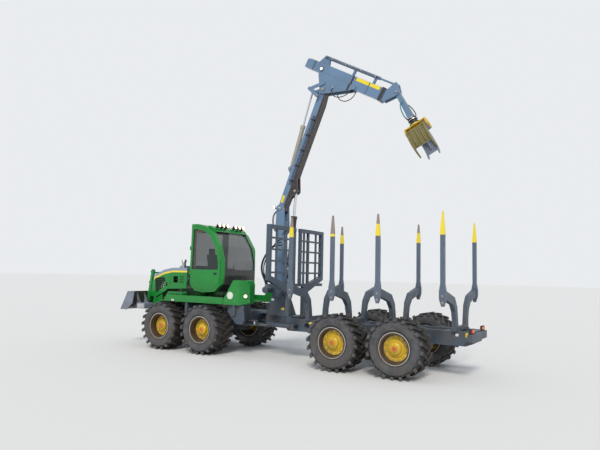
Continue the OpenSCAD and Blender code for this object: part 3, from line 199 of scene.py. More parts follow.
# %% Camera and light
CAMERA_PLACE = Vector((-8.1146, 12.617, 2.288))
CAMERA_YAW, CAMERA_PITCH, CAMERA_ROLL = (math.radians(a) for a in (-58.553, 5.089, 1.336))
CAMERA_LENS = 32.01
SENSOR_WIDTH = 36
VIEW_END = 400
FLOOR_HALF = 150
FLOOR_TONE = (0.78, 0.78, 0.77, 1)
SKY_LIGHT = (0.86, 0.92, 1.0, 1)
SKY_STRENGTH = 0.62
SKY_SHOWN = (0.82, 0.84, 0.86, 1)
SUN_COLOUR = (1.0, 0.95, 0.88)
SUN_STRENGTH = 2.1
SUN_WIDTH = 16
SUN_FROM = Vector((-0.35, 0.75, 0.72))


def set_up(name, data):
    obj = bpy.data.objects.new(name, data)
    bpy.context.scene.collection.objects.link(obj)
    return obj


flat = math.cos(CAMERA_PITCH)
ahead = Vector((flat * math.cos(CAMERA_YAW), flat * math.sin(CAMERA_YAW), math.sin(CAMERA_PITCH)))
level = Vector((math.sin(CAMERA_YAW), -math.cos(CAMERA_YAW), 0))
upright = level.cross(ahead)
right = math.cos(CAMERA_ROLL) * level + math.sin(CAMERA_ROLL) * upright
up = -math.sin(CAMERA_ROLL) * level + math.cos(CAMERA_ROLL) * upright
camera_data = bpy.data.cameras.new("camera")
camera_data.lens = CAMERA_LENS
camera_data.sensor_width = SENSOR_WIDTH
camera_data.clip_end = VIEW_END
camera = set_up("camera", camera_data)
camera.matrix_world = Matrix.Translation(CAMERA_PLACE) @ Matrix((right, up, -ahead)).transposed().to_4x4()
bpy.context.scene.camera = camera

floor_mesh = bpy.data.meshes.new("floor")
floor_corners = [(x * FLOOR_HALF, y * FLOOR_HALF, 0) for x, y in ((-1, -1), (1, -1), (1, 1), (-1, 1))]
floor_mesh.from_pydata(floor_corners, [], [(0, 1, 2, 3)])
floor_material, floor_tree, floor_shader, _ = new_material("floor_pale")
fill(floor_tree, floor_shader, Base_Color=FLOOR_TONE, Roughness=0.9)
floor_mesh.materials.append(floor_material)
floor = set_up("floor", floor_mesh)

world = bpy.data.worlds.new("sky")
world.use_nodes = True
bpy.context.scene.world = world
sky = world.node_tree
sky.nodes.clear()
rays = add(sky, "ShaderNodeLightPath").outputs
straight = number(sky, "MAXIMUM", rays["Is Camera Ray"], rays["Is Transmission Ray"])
seen = number(sky, "MAXIMUM", straight, rays["Is Glossy Ray"])
lit = add(sky, "ShaderNodeBackground", Color=SKY_LIGHT, Strength=SKY_STRENGTH).outputs[0]
shown = add(sky, "ShaderNodeBackground", Color=SKY_SHOWN, Strength=1.0).outputs[0]
blend = add(sky, "ShaderNodeMixShader", i0=seen, i1=lit, i2=shown).outputs[0]
add(sky, "ShaderNodeOutputWorld", Surface=blend)

sun_data = bpy.data.lights.new("sun", "SUN")
sun_data.energy = SUN_STRENGTH
sun_data.angle = math.radians(SUN_WIDTH)
sun_data.color = SUN_COLOUR
set_up("sun", sun_data).matrix_world = toward(Vector((0, 0, 10)), SUN_FROM)
bpy.context.scene.view_settings.view_transform = "Standard"
print("camera", [round(c, 2) for c in CAMERA_PLACE], "lens", CAMERA_LENS)

# %% [markdown]
# ## Paint that has worked outside
# Machine paint is an even coat that ages in three ways. Dust and splashed mud settle low down and in streaks,
# the coat rubs through to the metal along edges, and the gloss dulls in patches. Noise gives the patches, the
# height gives the mud, and the difference between a rounded and the true normal finds the edges.

# %% Paint
MUD = (0.115, 0.085, 0.06)
MUD_LOW = 0.3
WORN = (0.45, 0.46, 0.48)
EDGE_WIDTH = 0.012
DARKER = 0.86
GREEN = (0.0, 0.235, 0.028)
HOOD_BLUE = (0.24, 0.31, 0.4)
STRIPE = (0.86, 0.68, 0.03)
SLATE = (0.055, 0.085, 0.125)
CRANE_BLUE = (0.13, 0.225, 0.36)
BLACK = (0.012, 0.013, 0.014)


def soil(tree, place, high):
    streaks = remap(tree, noise(tree, place, 2.6, 8.0, 0.68), 0.38, 0.62)
    mud = remap(tree, parts(tree, place)[2], MUD_LOW, high, 0.62, 0.0)
    return number(tree, "MULTIPLY", streaks, number(tree, "ADD", mud, 0.06))


def finish(name, colour, rough=0.4, metal=0.0, coat=0.0, dirt=1.0, wear=0.0, grain=0.03, zones=None,
           mud_high=2.2):
    material, tree, shader, place = new_material(name)
    tone = remap(tree, noise(tree, place, 1.7, 3.0), 0.35, 0.65)
    paint = mix(tree, tone, tuple(c * DARKER for c in colour), colour)
    if zones:
        paint = zones(tree, place, paint)
    if wear:
        edge = add(tree, "ShaderNodeBevel", {"samples": 4}, Radius=EDGE_WIDTH).outputs[0]
        alike = dot(tree, edge, add(tree, "ShaderNodeNewGeometry").outputs["Normal"])
        chips = remap(tree, noise(tree, place, 24.0, 5.0), 0.45, 0.6, 0.0, wear)
        paint = mix(tree, both(tree, remap(tree, alike, 0.995, 0.93), chips), paint, WORN)
    mud = number(tree, "MULTIPLY", soil(tree, place, mud_high), dirt)
    base = remap(tree, noise(tree, place, 7.0, 4.0), 0.3, 0.7, rough - 0.07, rough + 0.09)
    dull = number(tree, "ADD", base, number(tree, "MULTIPLY", mud, 0.4))
    fine = noise(tree, place, 150.0, 2.0)
    bump = add(tree, "ShaderNodeBump", Height=fine, Strength=grain * 4, Distance=0.002).outputs[0]
    fill(tree, shader, Base_Color=mix(tree, mud, paint, MUD), Roughness=dull, Metallic=metal, Coat_Weight=coat,
         Normal=bump)
    return material


print("paint: green", GREEN, "slate", SLATE, "crane", CRANE_BLUE)

# %% [markdown]
# ## One node, several colours
# The hood is one pressing, but its top is painted blue-grey above a yellow stripe. The stripe follows the
# hood's falling edge, so a pixel's colour depends on how far it lies below that edge. The edge is two straight
# runs, written with two ramps of X.

# %% Hood's zones
HOOD_TOP = 2.345
HOOD_KNEE_X = (3.13 + JOINT_X, 3.48 + JOINT_X)
HOOD_KNEE_DROP = 0.065
HOOD_NOSE_X = 4.04 + JOINT_X
HOOD_NOSE_DROP = 0.22
BLUE_BAND = 0.085
STRIPE_BAND = 0.135


def hood_zones(tree, place, paint):
    along, _, height = parts(tree, place)
    first = remap(tree, along, *HOOD_KNEE_X, 0.0, HOOD_KNEE_DROP)
    second = remap(tree, along, HOOD_KNEE_X[1], HOOD_NOSE_X, 0.0, HOOD_NOSE_DROP)
    edge = number(tree, "SUBTRACT", HOOD_TOP, number(tree, "ADD", first, second))
    fall = number(tree, "SUBTRACT", edge, height)
    striped = mix(tree, between(tree, fall, BLUE_BAND, STRIPE_BAND), paint, STRIPE)
    return mix(tree, below(tree, fall, BLUE_BAND), striped, HOOD_BLUE)


print("hood: the stripe lies", BLUE_BAND, "to", STRIPE_BAND, "m below the edge")

# %% [markdown]
# ## The cab's lining
# Inside, the cab is lined in near-black and the wall under the windscreen is black too. A face looks inwards
# when its normal points at the cab's middle, so the lining is where the normal and the way from the middle
# disagree.

# %% Cab's zones
CAB_MIDDLE = at(1.75, 0, 2.65)
SCREEN_WALL_X = 1.45 + JOINT_X
SCREEN_FOOT_Z = 2.33
POST_Y = 0.72
LINING = (0.018, 0.019, 0.021)


def cab_zones(tree, place, paint):
    normal = add(tree, "ShaderNodeTexCoord").outputs["Normal"]
    inside = below(tree, dot(tree, normal, away(tree, place, CAB_MIDDLE)), 0.0)
    along, across, height = parts(tree, place)
    front = both(tree, below(tree, along, SCREEN_WALL_X), below(tree, number(tree, "ABSOLUTE", across), POST_Y))
    panel = both(tree, front, below(tree, height, SCREEN_FOOT_Z))
    return mix(tree, number(tree, "MAXIMUM", inside, panel), paint, LINING)


print("cab: lined round", [round(c, 2) for c in CAB_MIDDLE])

# %% [markdown]
# ## Rims and stakes
# A rim has a yellow centre that bolts to the hub, and its cap is orange. Beyond the centre it is painted dark
# brown, and its lip is pale. Seen along the axle these are rings, so the distance from the axle decides. The
# stakes are slate sleeves that end in a yellow band, with bare, weathered extensions above.

# %% Rims' and stakes' zones
LIP_R = 0.348
DISC_R = 0.282
CAP_R = 0.058
CAP = (0.62, 0.12, 0.015)
BARREL = (0.05, 0.03, 0.018)
LIP = (0.5, 0.47, 0.43)
BAND_LOW = 3.16
BAND_TOP = 3.41
BAND_STEPS = ((-2.1, -0.19), (-3.3, 0.21), (-4.6, 0.27))
BARE = (0.28, 0.23, 0.19)


# Between the yellow centre and the pale lip the rim is painted dark brown.
def rim_zones(centre):
    def zones(tree, place, paint):
        x, _, z = parts(tree, place)
        ways = (number(tree, "SUBTRACT", x, centre.x), number(tree, "SUBTRACT", z, centre.z))
        radius = number(tree, "SQRT", number(tree, "ADD", *(both(tree, way, way) for way in ways)))
        dark = mix(tree, above(tree, radius, DISC_R), paint, BARREL)
        lip = mix(tree, above(tree, radius, LIP_R), dark, LIP)
        return mix(tree, below(tree, radius, CAP_R), lip, CAP)
    return zones


def stake_zones(tree, place, paint):
    x, _, z = parts(tree, place)
    top = BAND_TOP
    for step_x, change in BAND_STEPS:
        behind = below(tree, x, step_x + JOINT_X)
        top = number(tree, "ADD", number(tree, "MULTIPLY", behind, change), top)
    banded = mix(tree, above(tree, z, BAND_LOW), paint, STRIPE)
    return mix(tree, above(tree, z, top), banded, BARE)


print("rims: the centre ends at", DISC_R, "m, the lip starts at", LIP_R, "m")

# %% [markdown]
# ## Booms, bumper and blade
# The booms are folded from plate. The upper half of the main boom's sides is light. Its lower half and its
# belly are painted dark, partly as painted shade under the boom. The outer boom carries dark bands at its
# clamps and at its collar. Distances along and above a boom come from two dot products. The blade is black
# behind, and the bumper's end boxes are pale.

# %% Booms', bumper's and blade's zones
BOOM_DARK = (0.03, 0.022, 0.022)
BOOM_SPLIT = 0.053
JIB_BANDS = ((0.265, 0.295), (1.60, 1.66), (2.155, 2.17), (2.57, 2.66))
JIB_BAND_FROM = -0.15
PALE_STEEL = (0.24, 0.28, 0.36)
BUMPER_X = 3.63 + JOINT_X
BUMPER_Y = 0.92
TURNED_BACK = -0.3


def along_axis(tree, place, matrix, column):
    return dot(tree, away(tree, place, matrix.translation), matrix.to_3x3().col[column])


# Painted shade: the main boom's lower sides and belly are painted dark brown-black, partly standing for the shade
# under the boom.
def boom_zones_and_shade(tree, place, paint):
    return mix(tree, above(tree, along_axis(tree, place, boom, 2), BOOM_SPLIT), paint, BOOM_DARK)


def jib_zones(tree, place, paint):
    run = along_axis(tree, place, jib, 0)
    over = above(tree, along_axis(tree, place, jib, 2), JIB_BAND_FROM)
    for low, high in JIB_BANDS:
        paint = mix(tree, both(tree, between(tree, run, low, high), over), paint, BOOM_DARK)
    return paint


def bumper_zones(tree, place, paint):
    x, y, _ = parts(tree, place)
    outside = above(tree, number(tree, "ABSOLUTE", y), BUMPER_Y)
    return mix(tree, both(tree, above(tree, x, BUMPER_X), outside), paint, PALE_STEEL)


def blade_zones(tree, place, paint):
    normal = add(tree, "ShaderNodeNewGeometry").outputs["True Normal"]
    return mix(tree, below(tree, parts(tree, normal)[0], TURNED_BACK), paint, BLACK)


print("outer boom:", len(JIB_BANDS), "dark bands")

# %% [markdown]
# ## Tyre rubber
# The tread is near-black and damp, the sidewalls carry pale dried mud. Both are one rubber: the distance from
# the tyre's middle plane decides how much dust shows, and a coarse noise breaks it up.

# %% Tyre rubber
RUBBER = (0.022, 0.021, 0.022)
DUST = (0.115, 0.12, 0.135)
SIDEWALL = (0.27, 0.34)


def rubber(name, centre):
    def dust(tree, place, paint):
        across = number(tree, "SUBTRACT", parts(tree, place)[1], centre.y)
        side = remap(tree, number(tree, "ABSOLUTE", across), *SIDEWALL)
        clumps = remap(tree, noise(tree, place, 6.0, 9.0, 0.7), 0.3, 0.62, 0.2, 0.75)
        return mix(tree, both(tree, clumps, side), paint, DUST)
    return finish(name, RUBBER, rough=0.72, dirt=0.5, grain=0.12, zones=dust, mud_high=1.5)


print("rubber: dust from", SIDEWALL[0], "m off the tyre's middle")

# %% [markdown]
# ## Glass
# The panes are tinted, thin and flat. A glossy coat over a see-through, grey-green body reads as glass from
# outside and still shows the seat. Thin panes bend no light, so transparency does the work, not refraction.

# %% Glass
def glass(name, tint, clear):
    material, tree, shader, place = new_material(name)
    film = noise(tree, place, 2.2, 6.0)
    fill(tree, shader, Base_Color=(*tint, 1), Roughness=remap(tree, film, 0.3, 0.7, 0.02, 0.12),
         Alpha=remap(tree, film, 0.35, 0.75, 1 - clear, 1.08 - clear), Coat_Weight=0.6)
    return material


def glow(name, colour, strength):
    material, tree, shader, place = new_material(name)
    ribs = add(tree, "ShaderNodeTexVoronoi", Vector=place, Scale=90.0).outputs["Distance"]
    fill(tree, shader, Base_Color=(*colour, 1), Emission_Color=(*colour, 1), Roughness=0.15,
         Emission_Strength=remap(tree, ribs, 0.0, 0.9, strength, strength * 0.55))
    return material


print("glass and lamps' glow are ready")

# %% [markdown]
# ## Finishes of the frame
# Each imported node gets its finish. A table of node and finish is shorter than forty lines of calls, and shows
# at a glance which pieces share a paint.

# %% Finishes
green = finish("machine_green", GREEN, rough=0.28, coat=0.2, wear=0.25, dirt=0.3)
hood_paint = finish("hood_paint", GREEN, rough=0.28, coat=0.2, zones=hood_zones, dirt=0.25)
cab_paint = finish("cab_paint", GREEN, rough=0.28, coat=0.2, zones=cab_zones, dirt=0.4)
slate = finish("frame_slate", SLATE, rough=0.45, wear=0.5, dirt=1.0)
front_slate = finish("front_slate", SLATE, rough=0.45, wear=0.5, dirt=1.0, zones=bumper_zones)
boom_paint_and_shade = finish("boom_paint_and_shade", CRANE_BLUE, rough=0.36, coat=0.25, wear=0.6, dirt=0.5, zones=boom_zones_and_shade)
jib_paint = finish("jib_paint", CRANE_BLUE, rough=0.36, coat=0.25, wear=0.6, dirt=0.5, zones=jib_zones)
barrel_dark = finish("barrel_dark", BOOM_DARK, rough=0.4, wear=0.5, dirt=0.6)
barrel_tan = finish("barrel_tan", (0.4, 0.36, 0.3), rough=0.4, wear=0.5, dirt=0.4)
blade_coat = finish("blade_coat", (0.2, 0.24, 0.31), rough=0.42, wear=0.9, dirt=1.3, zones=blade_zones)
crane = finish("crane_slate", CRANE_BLUE, rough=0.36, coat=0.25, wear=0.6, dirt=0.5)
black = finish("engine_black", BLACK, rough=0.55, dirt=0.8)
mesh_black = finish("grille_black", (0.02, 0.05, 0.03), rough=0.6, dirt=0.4)
steel = finish("stack_steel", (0.5, 0.5, 0.52), rough=0.3, metal=1.0, dirt=0.3)
chrome = finish("rod_chrome", (0.75, 0.76, 0.78), rough=0.12, metal=1.0, dirt=0.1)
yellow = finish("grapple_yellow", (0.72, 0.46, 0.02), rough=0.42, wear=0.9, dirt=0.9)
jaw_blue = finish("jaw_steel", (0.2, 0.24, 0.32), rough=0.4, wear=1.0, dirt=0.8)
jaw_olive = finish("jaw_olive", (0.2, 0.17, 0.05), rough=0.5, wear=1.0, dirt=1.0)
stake_paint = finish("stake_slate", (0.1, 0.135, 0.19), rough=0.42, wear=0.7, zones=stake_zones)
cab_pane = glass("cab_glass", (0.03, 0.045, 0.045), 0.62)
work_light = glow("lamp_glass", (1.0, 0.88, 0.58), 2.4)
seat_cloth = finish("seat_black", (0.02, 0.021, 0.024), rough=0.85, dirt=0.0, grain=0.25)
white = finish("plate_white", (0.75, 0.75, 0.73), rough=0.35, dirt=0.3)
plate_yellow = finish("plate_yellow", STRIPE, rough=0.4, dirt=0.5)
hose_black = finish("hose_black", (0.015, 0.016, 0.017), rough=0.5, dirt=0.4)
hose_teal = finish("hose_teal", (0.01, 0.25, 0.27), rough=0.45, dirt=0.3)
plastic = finish("plastic_black", (0.018, 0.018, 0.02), rough=0.6, dirt=0.3)
pipe_paint = finish("pipe_paint", (0.11, 0.15, 0.22), rough=0.35, dirt=0.4)
guard_grey = finish("guard_grey", (0.42, 0.43, 0.43), rough=0.5, dirt=0.4)
pale_grey = finish("pale_grey", (0.5, 0.52, 0.53), rough=0.45, dirt=0.8)
lamp_red = glow("lamp_red", (0.5, 0.01, 0.01), 0.3)
lamp_amber = glow("lamp_amber", (0.8, 0.25, 0.01), 0.3)
trim_tan = finish("trim_tan", (0.42, 0.2, 0.075), rough=0.5, dirt=0.1)

FINISHES = {
    green: ("side_sills", "tanks", "front_guard", "door_frame"),
    hood_paint: ("hood_shell", "rear_cowl"),
    cab_paint: ("cab_shell",),
    front_slate: ("front_frame",),
    boom_paint_and_shade: ("main_boom",),
    jib_paint: ("outer_boom",),
    barrel_dark: ("lift_barrel",),
    barrel_tan: ("knuckle_barrel",),
    slate: ("front_axle", "rear_frame", "rear_axle", "crane_base", "headboard", "bunks", "blade_arms",
            "steer_barrel_left", "steer_barrel_right"),
    crane: ("crane_pillar", "boom_link", "jib_link", "telescope", "hanger"),
    blade_coat: ("blade",),
    black: ("engine_block", "cab_turntable", "rotator", "cab_lamps", "cab_seat"),
    mesh_black: ("hood_grille",),
    steel: ("stack",),
    chrome: ("lift_rod", "knuckle_rod", "steer_rod_left", "steer_rod_right"),
    yellow: ("grapple_head",),
    jaw_blue: ("jaw_right",),
    jaw_olive: ("jaw_left",),
    stake_paint: ("stakes",),
    cab_pane: ("cab_glass", "door_glass"),
}


def wear_finish(name, material):
    obj = nodes[name]
    if not obj.material_slots:
        obj.data.materials.append(material)
    for slot in obj.material_slots:
        slot.material = material


for material, names in FINISHES.items():
    for name in names:
        wear_finish(name, material)
for (n, side), centre in WHEELS.items():
    rim_paint = finish(f"rim_yellow_{n}_{side}", (0.72, 0.47, 0.015), rough=0.34, dirt=0.7,
                       zones=rim_zones(centre), mud_high=1.1)
    wear_finish(f"rim_{n}_{side}", rim_paint)
    wear_finish(f"tyre_{n}_{side}", rubber(f"tyre_rubber_{n}_{side}", centre))
print("finishes:", len(bpy.data.materials), "materials")

# %% [markdown]
# ## Making small pieces
# Most small pieces are one of four shapes: a disc, a slab with a drawn outline, a block, or a tube along a
# line. Each shape is a short function, and `piece` turns the finished mesh into an object that rides on a body
# and takes one of the frame's colours.

# %% Shapes
def piece(name, bm, material, body, place=Matrix.Identity(4)):
    mesh = bpy.data.meshes.new(name)
    bm.normal_update()
    bm.to_mesh(mesh)
    bm.free()
    mesh.transform(place)
    mesh.materials.append(material)
    obj = set_up(name, mesh)
    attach(obj, body)
    return obj


def soften(obj, width, segments=2):
    rounding = obj.modifiers.new("soften", "BEVEL")
    rounding.width = width
    rounding.segments = segments
    rounding.limit_method = "ANGLE"
    return obj


def smooth(obj, angle=35):
    for polygon in obj.data.polygons:
        polygon.use_smooth = True
    split = obj.modifiers.new("edges", "EDGE_SPLIT")
    split.split_angle = math.radians(angle)
    return obj


def round_spots(radius, count, start=0.0):
    return [(radius * math.cos(a), radius * math.sin(a))
            for a in (start + 2 * math.pi * k / count for k in range(count))]


def circle(bm, place, radius, height, sides):
    return [bm.verts.new(place @ Vector((x, y, height))) for x, y in round_spots(radius, sides)]


def walls(bm, low, high):
    for k in range(len(low)):
        j = (k + 1) % len(low)
        bm.faces.new((low[k], low[j], high[j], high[k]))


def block(bm, low, high, place=Matrix.Identity(4)):
    corners = [(x, y, z) for x in (low[0], high[0]) for y in (low[1], high[1]) for z in (low[2], high[2])]
    v = [bm.verts.new(place @ Vector(c)) for c in corners]
    for a, b, c, d in ((0, 1, 3, 2), (4, 6, 7, 5), (0, 4, 5, 1), (2, 3, 7, 6), (0, 2, 6, 4), (1, 5, 7, 3)):
        bm.faces.new((v[a], v[b], v[c], v[d]))


def disc(bm, place, radius, height, sides=24, top=None):
    low = circle(bm, place, radius, 0, sides)
    high = circle(bm, place, radius if top is None else top, height, sides)
    bm.faces.new(low[::-1])
    bm.faces.new(high)
    walls(bm, low, high)


def slab(bm, outline, low, high):
    front = [bm.verts.new((x, low, z)) for x, z in outline]
    back = [bm.verts.new((x, high, z)) for x, z in outline]
    bm.faces.new(front)
    bm.faces.new(back[::-1])
    walls(bm, back, front)


def line_piece(name, kind, points, radius, material, body, steps=12):
    curve = bpy.data.curves.new(name, "CURVE")
    curve.dimensions = "3D"
    spline = curve.splines.new(kind)
    spots = spline.bezier_points if kind == "BEZIER" else spline.points
    spots.add(len(points) - 1)
    for spot, point in zip(spots, points):
        spot.co = point if kind == "BEZIER" else (*point, 1)
        if kind == "BEZIER":
            spot.handle_left_type = "AUTO"
            spot.handle_right_type = "AUTO"
    curve.resolution_u = steps
    curve.bevel_depth = radius
    curve.bevel_resolution = 3
    curve.use_fill_caps = True
    obj = set_up(name, curve)
    curve.materials.append(material)
    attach(obj, body)
    return obj


def tube(name, points, radius, material, body, steps=8):
    line_piece(name, "BEZIER", points, radius, material, body, steps)


print("shapes: block, disc, slab, tube")

# %% [markdown]
# ## Turned pieces, rings, bolts and plates
# Four more shapes cover most fittings. A turned piece is a profile carried round an axis, and a ring is one with
# a hole. Bolts are six-sided heads on round washers, set in a row of spots on one face. A plate has rounded
# corners. `facing` gives the matrix of a face from its outward normal, so a fitting is drawn flat and then
# stood on the machine.

# %% More shapes
def facing(point, normal, upward=(0, 0, 1)):
    out = Vector(normal).normalized()
    side = Vector(upward).cross(out).normalized()
    head = out.cross(side)
    return Matrix.Translation(point) @ Matrix((side, head, out)).transposed().to_4x4()


def raised(place, height, x=0, y=0):
    return place @ Matrix.Translation((x, y, height))


def turned(bm, place, profile, sides=32):
    rings = [circle(bm, place, radius, height, sides) if radius else [bm.verts.new(place @ Vector((0, 0, height)))]
             for radius, height in profile]
    for low, high in zip(rings, rings[1:]):
        for k in range(sides):
            j = (k + 1) % sides
            corners = [low[k % len(low)], low[j % len(low)], high[j % len(high)], high[k % len(high)]]
            face = [v for i, v in enumerate(corners) if v not in corners[:i]]
            if len(face) > 2:
                bm.faces.new(face)


def ring(bm, place, inner, outer, height, sides=32):
    turned(bm, place, [(inner, 0), (outer, 0), (outer, height), (inner, height), (inner, 0)], sides)
    bmesh.ops.remove_doubles(bm, verts=bm.verts, dist=0.00002)


def bolts(bm, place, spots, radius=0.012, height=0.009):
    for x, y in spots:
        spot = raised(place, 0, x, y)
        disc(bm, spot, radius * 1.5, height * 0.3, 14)
        disc(bm, spot, radius, height, 6)


def plate(bm, place, width, height, thick=0.004, corner=0.01):
    outline = []
    for cx, cy, start in ((1, 1, 0), (-1, 1, 90), (-1, -1, 180), (1, -1, 270)):
        for k in range(4):
            a = math.radians(start + 30 * k)
            outline.append((cx * (width / 2 - corner) + corner * math.cos(a),
                            cy * (height / 2 - corner) + corner * math.sin(a)))
    low = [bm.verts.new(place @ Vector((x, y, -0.001))) for x, y in outline]
    high = [bm.verts.new(place @ Vector((x, y, thick))) for x, y in outline]
    bm.faces.new(low[::-1])
    bm.faces.new(high)
    walls(bm, low, high)


print("shapes: turned, ring, bolts, plate")

# %% [markdown]
# ## Finding a face
# A fitting sits on the machine's own surface. A line is shot at the piece from outside, and where it lands gives
# the place and the normal of the face, so that no fitting floats or sinks.

# %% Finding a face
LAMP_SHELL = ((0, 0), (0.5, 0), (0.8, 0.35), (1.08, 0.8), (1.08, 1), (0.94, 1), (0.92, 0.86))
LAMP_LENS = ((0.93, 0), (0.9, 0.06), (0.5, 0.12), (0, 0.14))
LENS_AT = 0.84


def face_on(node, start, direction, upward=(0, 0, 1)):
    turn = nodes[node].matrix_world
    back = turn.inverted()
    found, spot, normal, _ = nodes[node].ray_cast(back @ Vector(start), back.to_3x3() @ Vector(direction))
    if not found:
        raise ValueError(f"no face of {node} from {tuple(round(c, 3) for c in start)}")
    out = (turn.to_3x3() @ normal).normalized()
    if abs(out.dot(Vector(upward))) > 0.95:
        upward = (1, 0, 0)
    return facing(turn @ spot, out, upward)


def side_face(node, x, z, s):
    return face_on(node, at(x, s * 2.0, z), (0, -s, 0))


def work_lens(name, place, radius, body, depth=0.05):
    lens = bmesh.new()
    turned(lens, raised(place, depth * LENS_AT), [(radius * r, depth * h) for r, h in LAMP_LENS])
    smooth(piece(f"{name}_lens", lens, work_light, body))


def work_lamp(name, place, radius, body, depth=0.05):
    shell = bmesh.new()
    turned(shell, place, [(radius * r, depth * h) for r, h in LAMP_SHELL])
    smooth(piece(name, shell, plastic, body))
    work_lens(name, place, radius, body, depth)


print("faces are found by a line shot at them")

# %% [markdown]
# ## Hydraulic hoses
# A hydraulic hose is stiff rubber over braided wire. It leaves its fitting nearly straight, bends in wide
# curves, and bows into an open loop when its two ends come closer than its length. A smooth curve through a few
# spots has that shape. Each hose starts and ends in a steel fitting, and its length is measured along the curve.

# %% Hoses
EASE_ROUNDS = 6
BOW_STEPS = 26


def bow(points):
    path = []
    spots = [Vector(p) for p in points]
    spots = [2 * spots[0] - spots[1], *spots, 2 * spots[-1] - spots[-2]]
    spans = len(spots) - 3
    for k in range(spans):
        a, b, c, d = spots[k:k + 4]
        count = BOW_STEPS // spans
        for i in range(count + (k == spans - 1)):
            t = i / count
            path.append(0.5 * (2 * b + (c - a) * t + (2 * a - 5 * b + 4 * c - d) * t * t
                               + (3 * b - a - 3 * c + d) * t ** 3))
    return path


def eased(path):
    for _ in range(EASE_ROUNDS):
        inner = [(a + 2 * b + c) / 4 for a, b, c in zip(path, path[1:], path[2:])]
        path = [path[0], *inner, path[-1]]
    return path


def hose(name, points, width, material, body):
    path = eased(bow(points))
    cord = line_piece(name, "POLY", path, width / 2, material, body)
    fittings = bmesh.new()
    for end, inward in ((path[0], path[1] - path[0]), (path[-1], path[-2] - path[-1])):
        place = toward(end - inward.normalized() * width * 0.5, inward)
        disc(fittings, place, width * 0.78, width * 0.9, 6)
        disc(fittings, raised(place, width * 0.85), width * 0.62, width * 1.3, 16, width * 0.58)
    ends = piece(f"{name}_fittings", fittings, fitting_steel, body)
    length = sum((b - a).length for a, b in zip(path, path[1:]))
    measured[name] = round(length, 3)


fitting_steel = finish("fitting_steel", (0.42, 0.42, 0.40), rough=0.32, metal=1.0, dirt=0.4)
measured = {}

# Three hoses bow from the headboard's post down to the end of the front rack housing
POST_FACE = -0.832
RACK_X, RACK_TOP = -0.155, 1.885
for k, (y, out) in enumerate(((0.575, 0.0), (0.605, -0.05), (0.59, -0.1))):
    route = [at(POST_FACE, y, 3.0 + 0.09 * k), at(-0.62, y, 3.03 + 0.07 * k), at(-0.33 + out, y, 2.93),
             at(-0.11 + out, y, 2.62), at(-0.04 + out, y - 0.02, 2.36), at(-0.10 + 0.6 * out, 0.5, 2.14),
             at(RACK_X, 0.45 - 0.05 * k, 1.99), at(RACK_X, 0.45 - 0.05 * k, RACK_TOP)]
    hose(f"base_hose_{k + 1}", route, 0.034, hose_black, "load_frame")

# A teal and a black hose bow from the hanger's shank to the rotator's seat, wide enough to clear the telescope
DOWN = Vector((math.cos(math.radians(HANGER_ANGLE)), 0, math.sin(math.radians(HANGER_ANGLE))))
FRONT = Vector((-DOWN.z, 0, DOWN.x))
HANGER_ROUTE = ((0.37, 0.06, 0.158), (0.47, 0.09, 0.17), (0.58, 0.11, 0.168), (0.68, 0.118, 0.148),
                (0.76, 0.112, 0.11), (0.79, 0.10, 0.055))
for name, s, width, coat in (("hanger_hose_teal", 1, 0.03, hose_teal), ("hanger_hose_black", -1, 0.026, hose_black)):
    shank = face_on("hanger", tip_point + DOWN * 0.3 + Vector((0, s, 0)), (0, -s, 0)).translation
    route = [shank, shank + Vector((0, s * 0.035, 0)) + DOWN * 0.012]
    route += [tip_point + DOWN * along + FRONT * s * out + Vector((0, s * y, 0)) for along, out, y in HANGER_ROUTE]
    hose(name, route, width, coat, "hanger")

# Two hoses leave the lamp housing at the pillar's head and go back into the pillar
PILLAR_LOOP = ((-0.255, 4.02), (-0.17, 3.99), (-0.10, 3.88), (-0.085, 3.72), (-0.115, 3.56), (-0.17, 3.45))
PILLAR_END = (-0.235, -0.02, 3.41)
for k, y in enumerate((0.05, 0.1)):
    route = [at(x, y, z) for x, z in PILLAR_LOOP] + [at(PILLAR_END[0], y + PILLAR_END[1], PILLAR_END[2])]
    hose(f"pillar_hose_{k + 1}", route, 0.022, hose_black, "pillar")

# A hose on each side loops under the outer boom, from the knee's gusset to the box's side, clear of the main boom
KNEE_LOOP = ((1.20, 0.148, 0.36), (1.19, 0.178, 0.43), (1.26, 0.192, 0.54), (1.40, 0.194, 0.585),
             (1.56, 0.19, 0.55), (1.69, 0.172, 0.43), (1.75, 0.145, 0.30), (1.76, 0.112, 0.17))
for side, s in SIDES.items():
    route = [jib @ Vector((u, s * y, v)) for u, y, v in KNEE_LOOP]
    hose(f"knee_hose_{side}", route, 0.024, hose_black, "outer_boom")
print("hoses:", measured)

# %% [markdown]
# ## Wheel nuts
# Twelve nuts hold each centre to its hub, and a ring of small screws closes the hub. They are six-sided
# prisms with a washer below, joined into one piece for each wheel, and stand on the centre's face.

# %% Wheel nuts
NUT_RING = 0.242
NUT_COUNT = 12
SCREW_RING = 0.09
SCREW_COUNT = 8
SCREW_OUT = 0.097
NUT_IN = -0.003
DISC_OUT = {1: 0.125, 2: 0.125, 3: 0.185, 4: 0.185}
for (n, side), centre in WHEELS.items():
    s = SIDES[side]
    nuts = bmesh.new()
    rows = ((NUT_RING, NUT_COUNT, math.pi / NUT_COUNT, NUT_IN, ((0.024, 0.006, 16), (0.017, 0.026, 6))),
            (SCREW_RING, SCREW_COUNT, 0, SCREW_OUT, ((0.009, 0.012, 6),)))
    for radius, count, first, out, heads in rows:
        for x, z in round_spots(radius, count, first):
            spot = toward(centre + Vector((x, s * (DISC_OUT[n] + out), z)), (0, s, 0))
            for head in heads:
                disc(nuts, spot, *head)
    piece(f"wheel_nuts_{n}_{side}", nuts, yellow, f"wheel_{n}_{side}")
print("wheel nuts on", len(WHEELS), "wheels")

# %% [markdown]
# ## Tanks
# Both tanks carry a screwed filler cap with grips round its edge, and their straps' bolts. The left one has a
# round blank plate. A work lamp sits in each slanted rear corner and lights the middle joint.

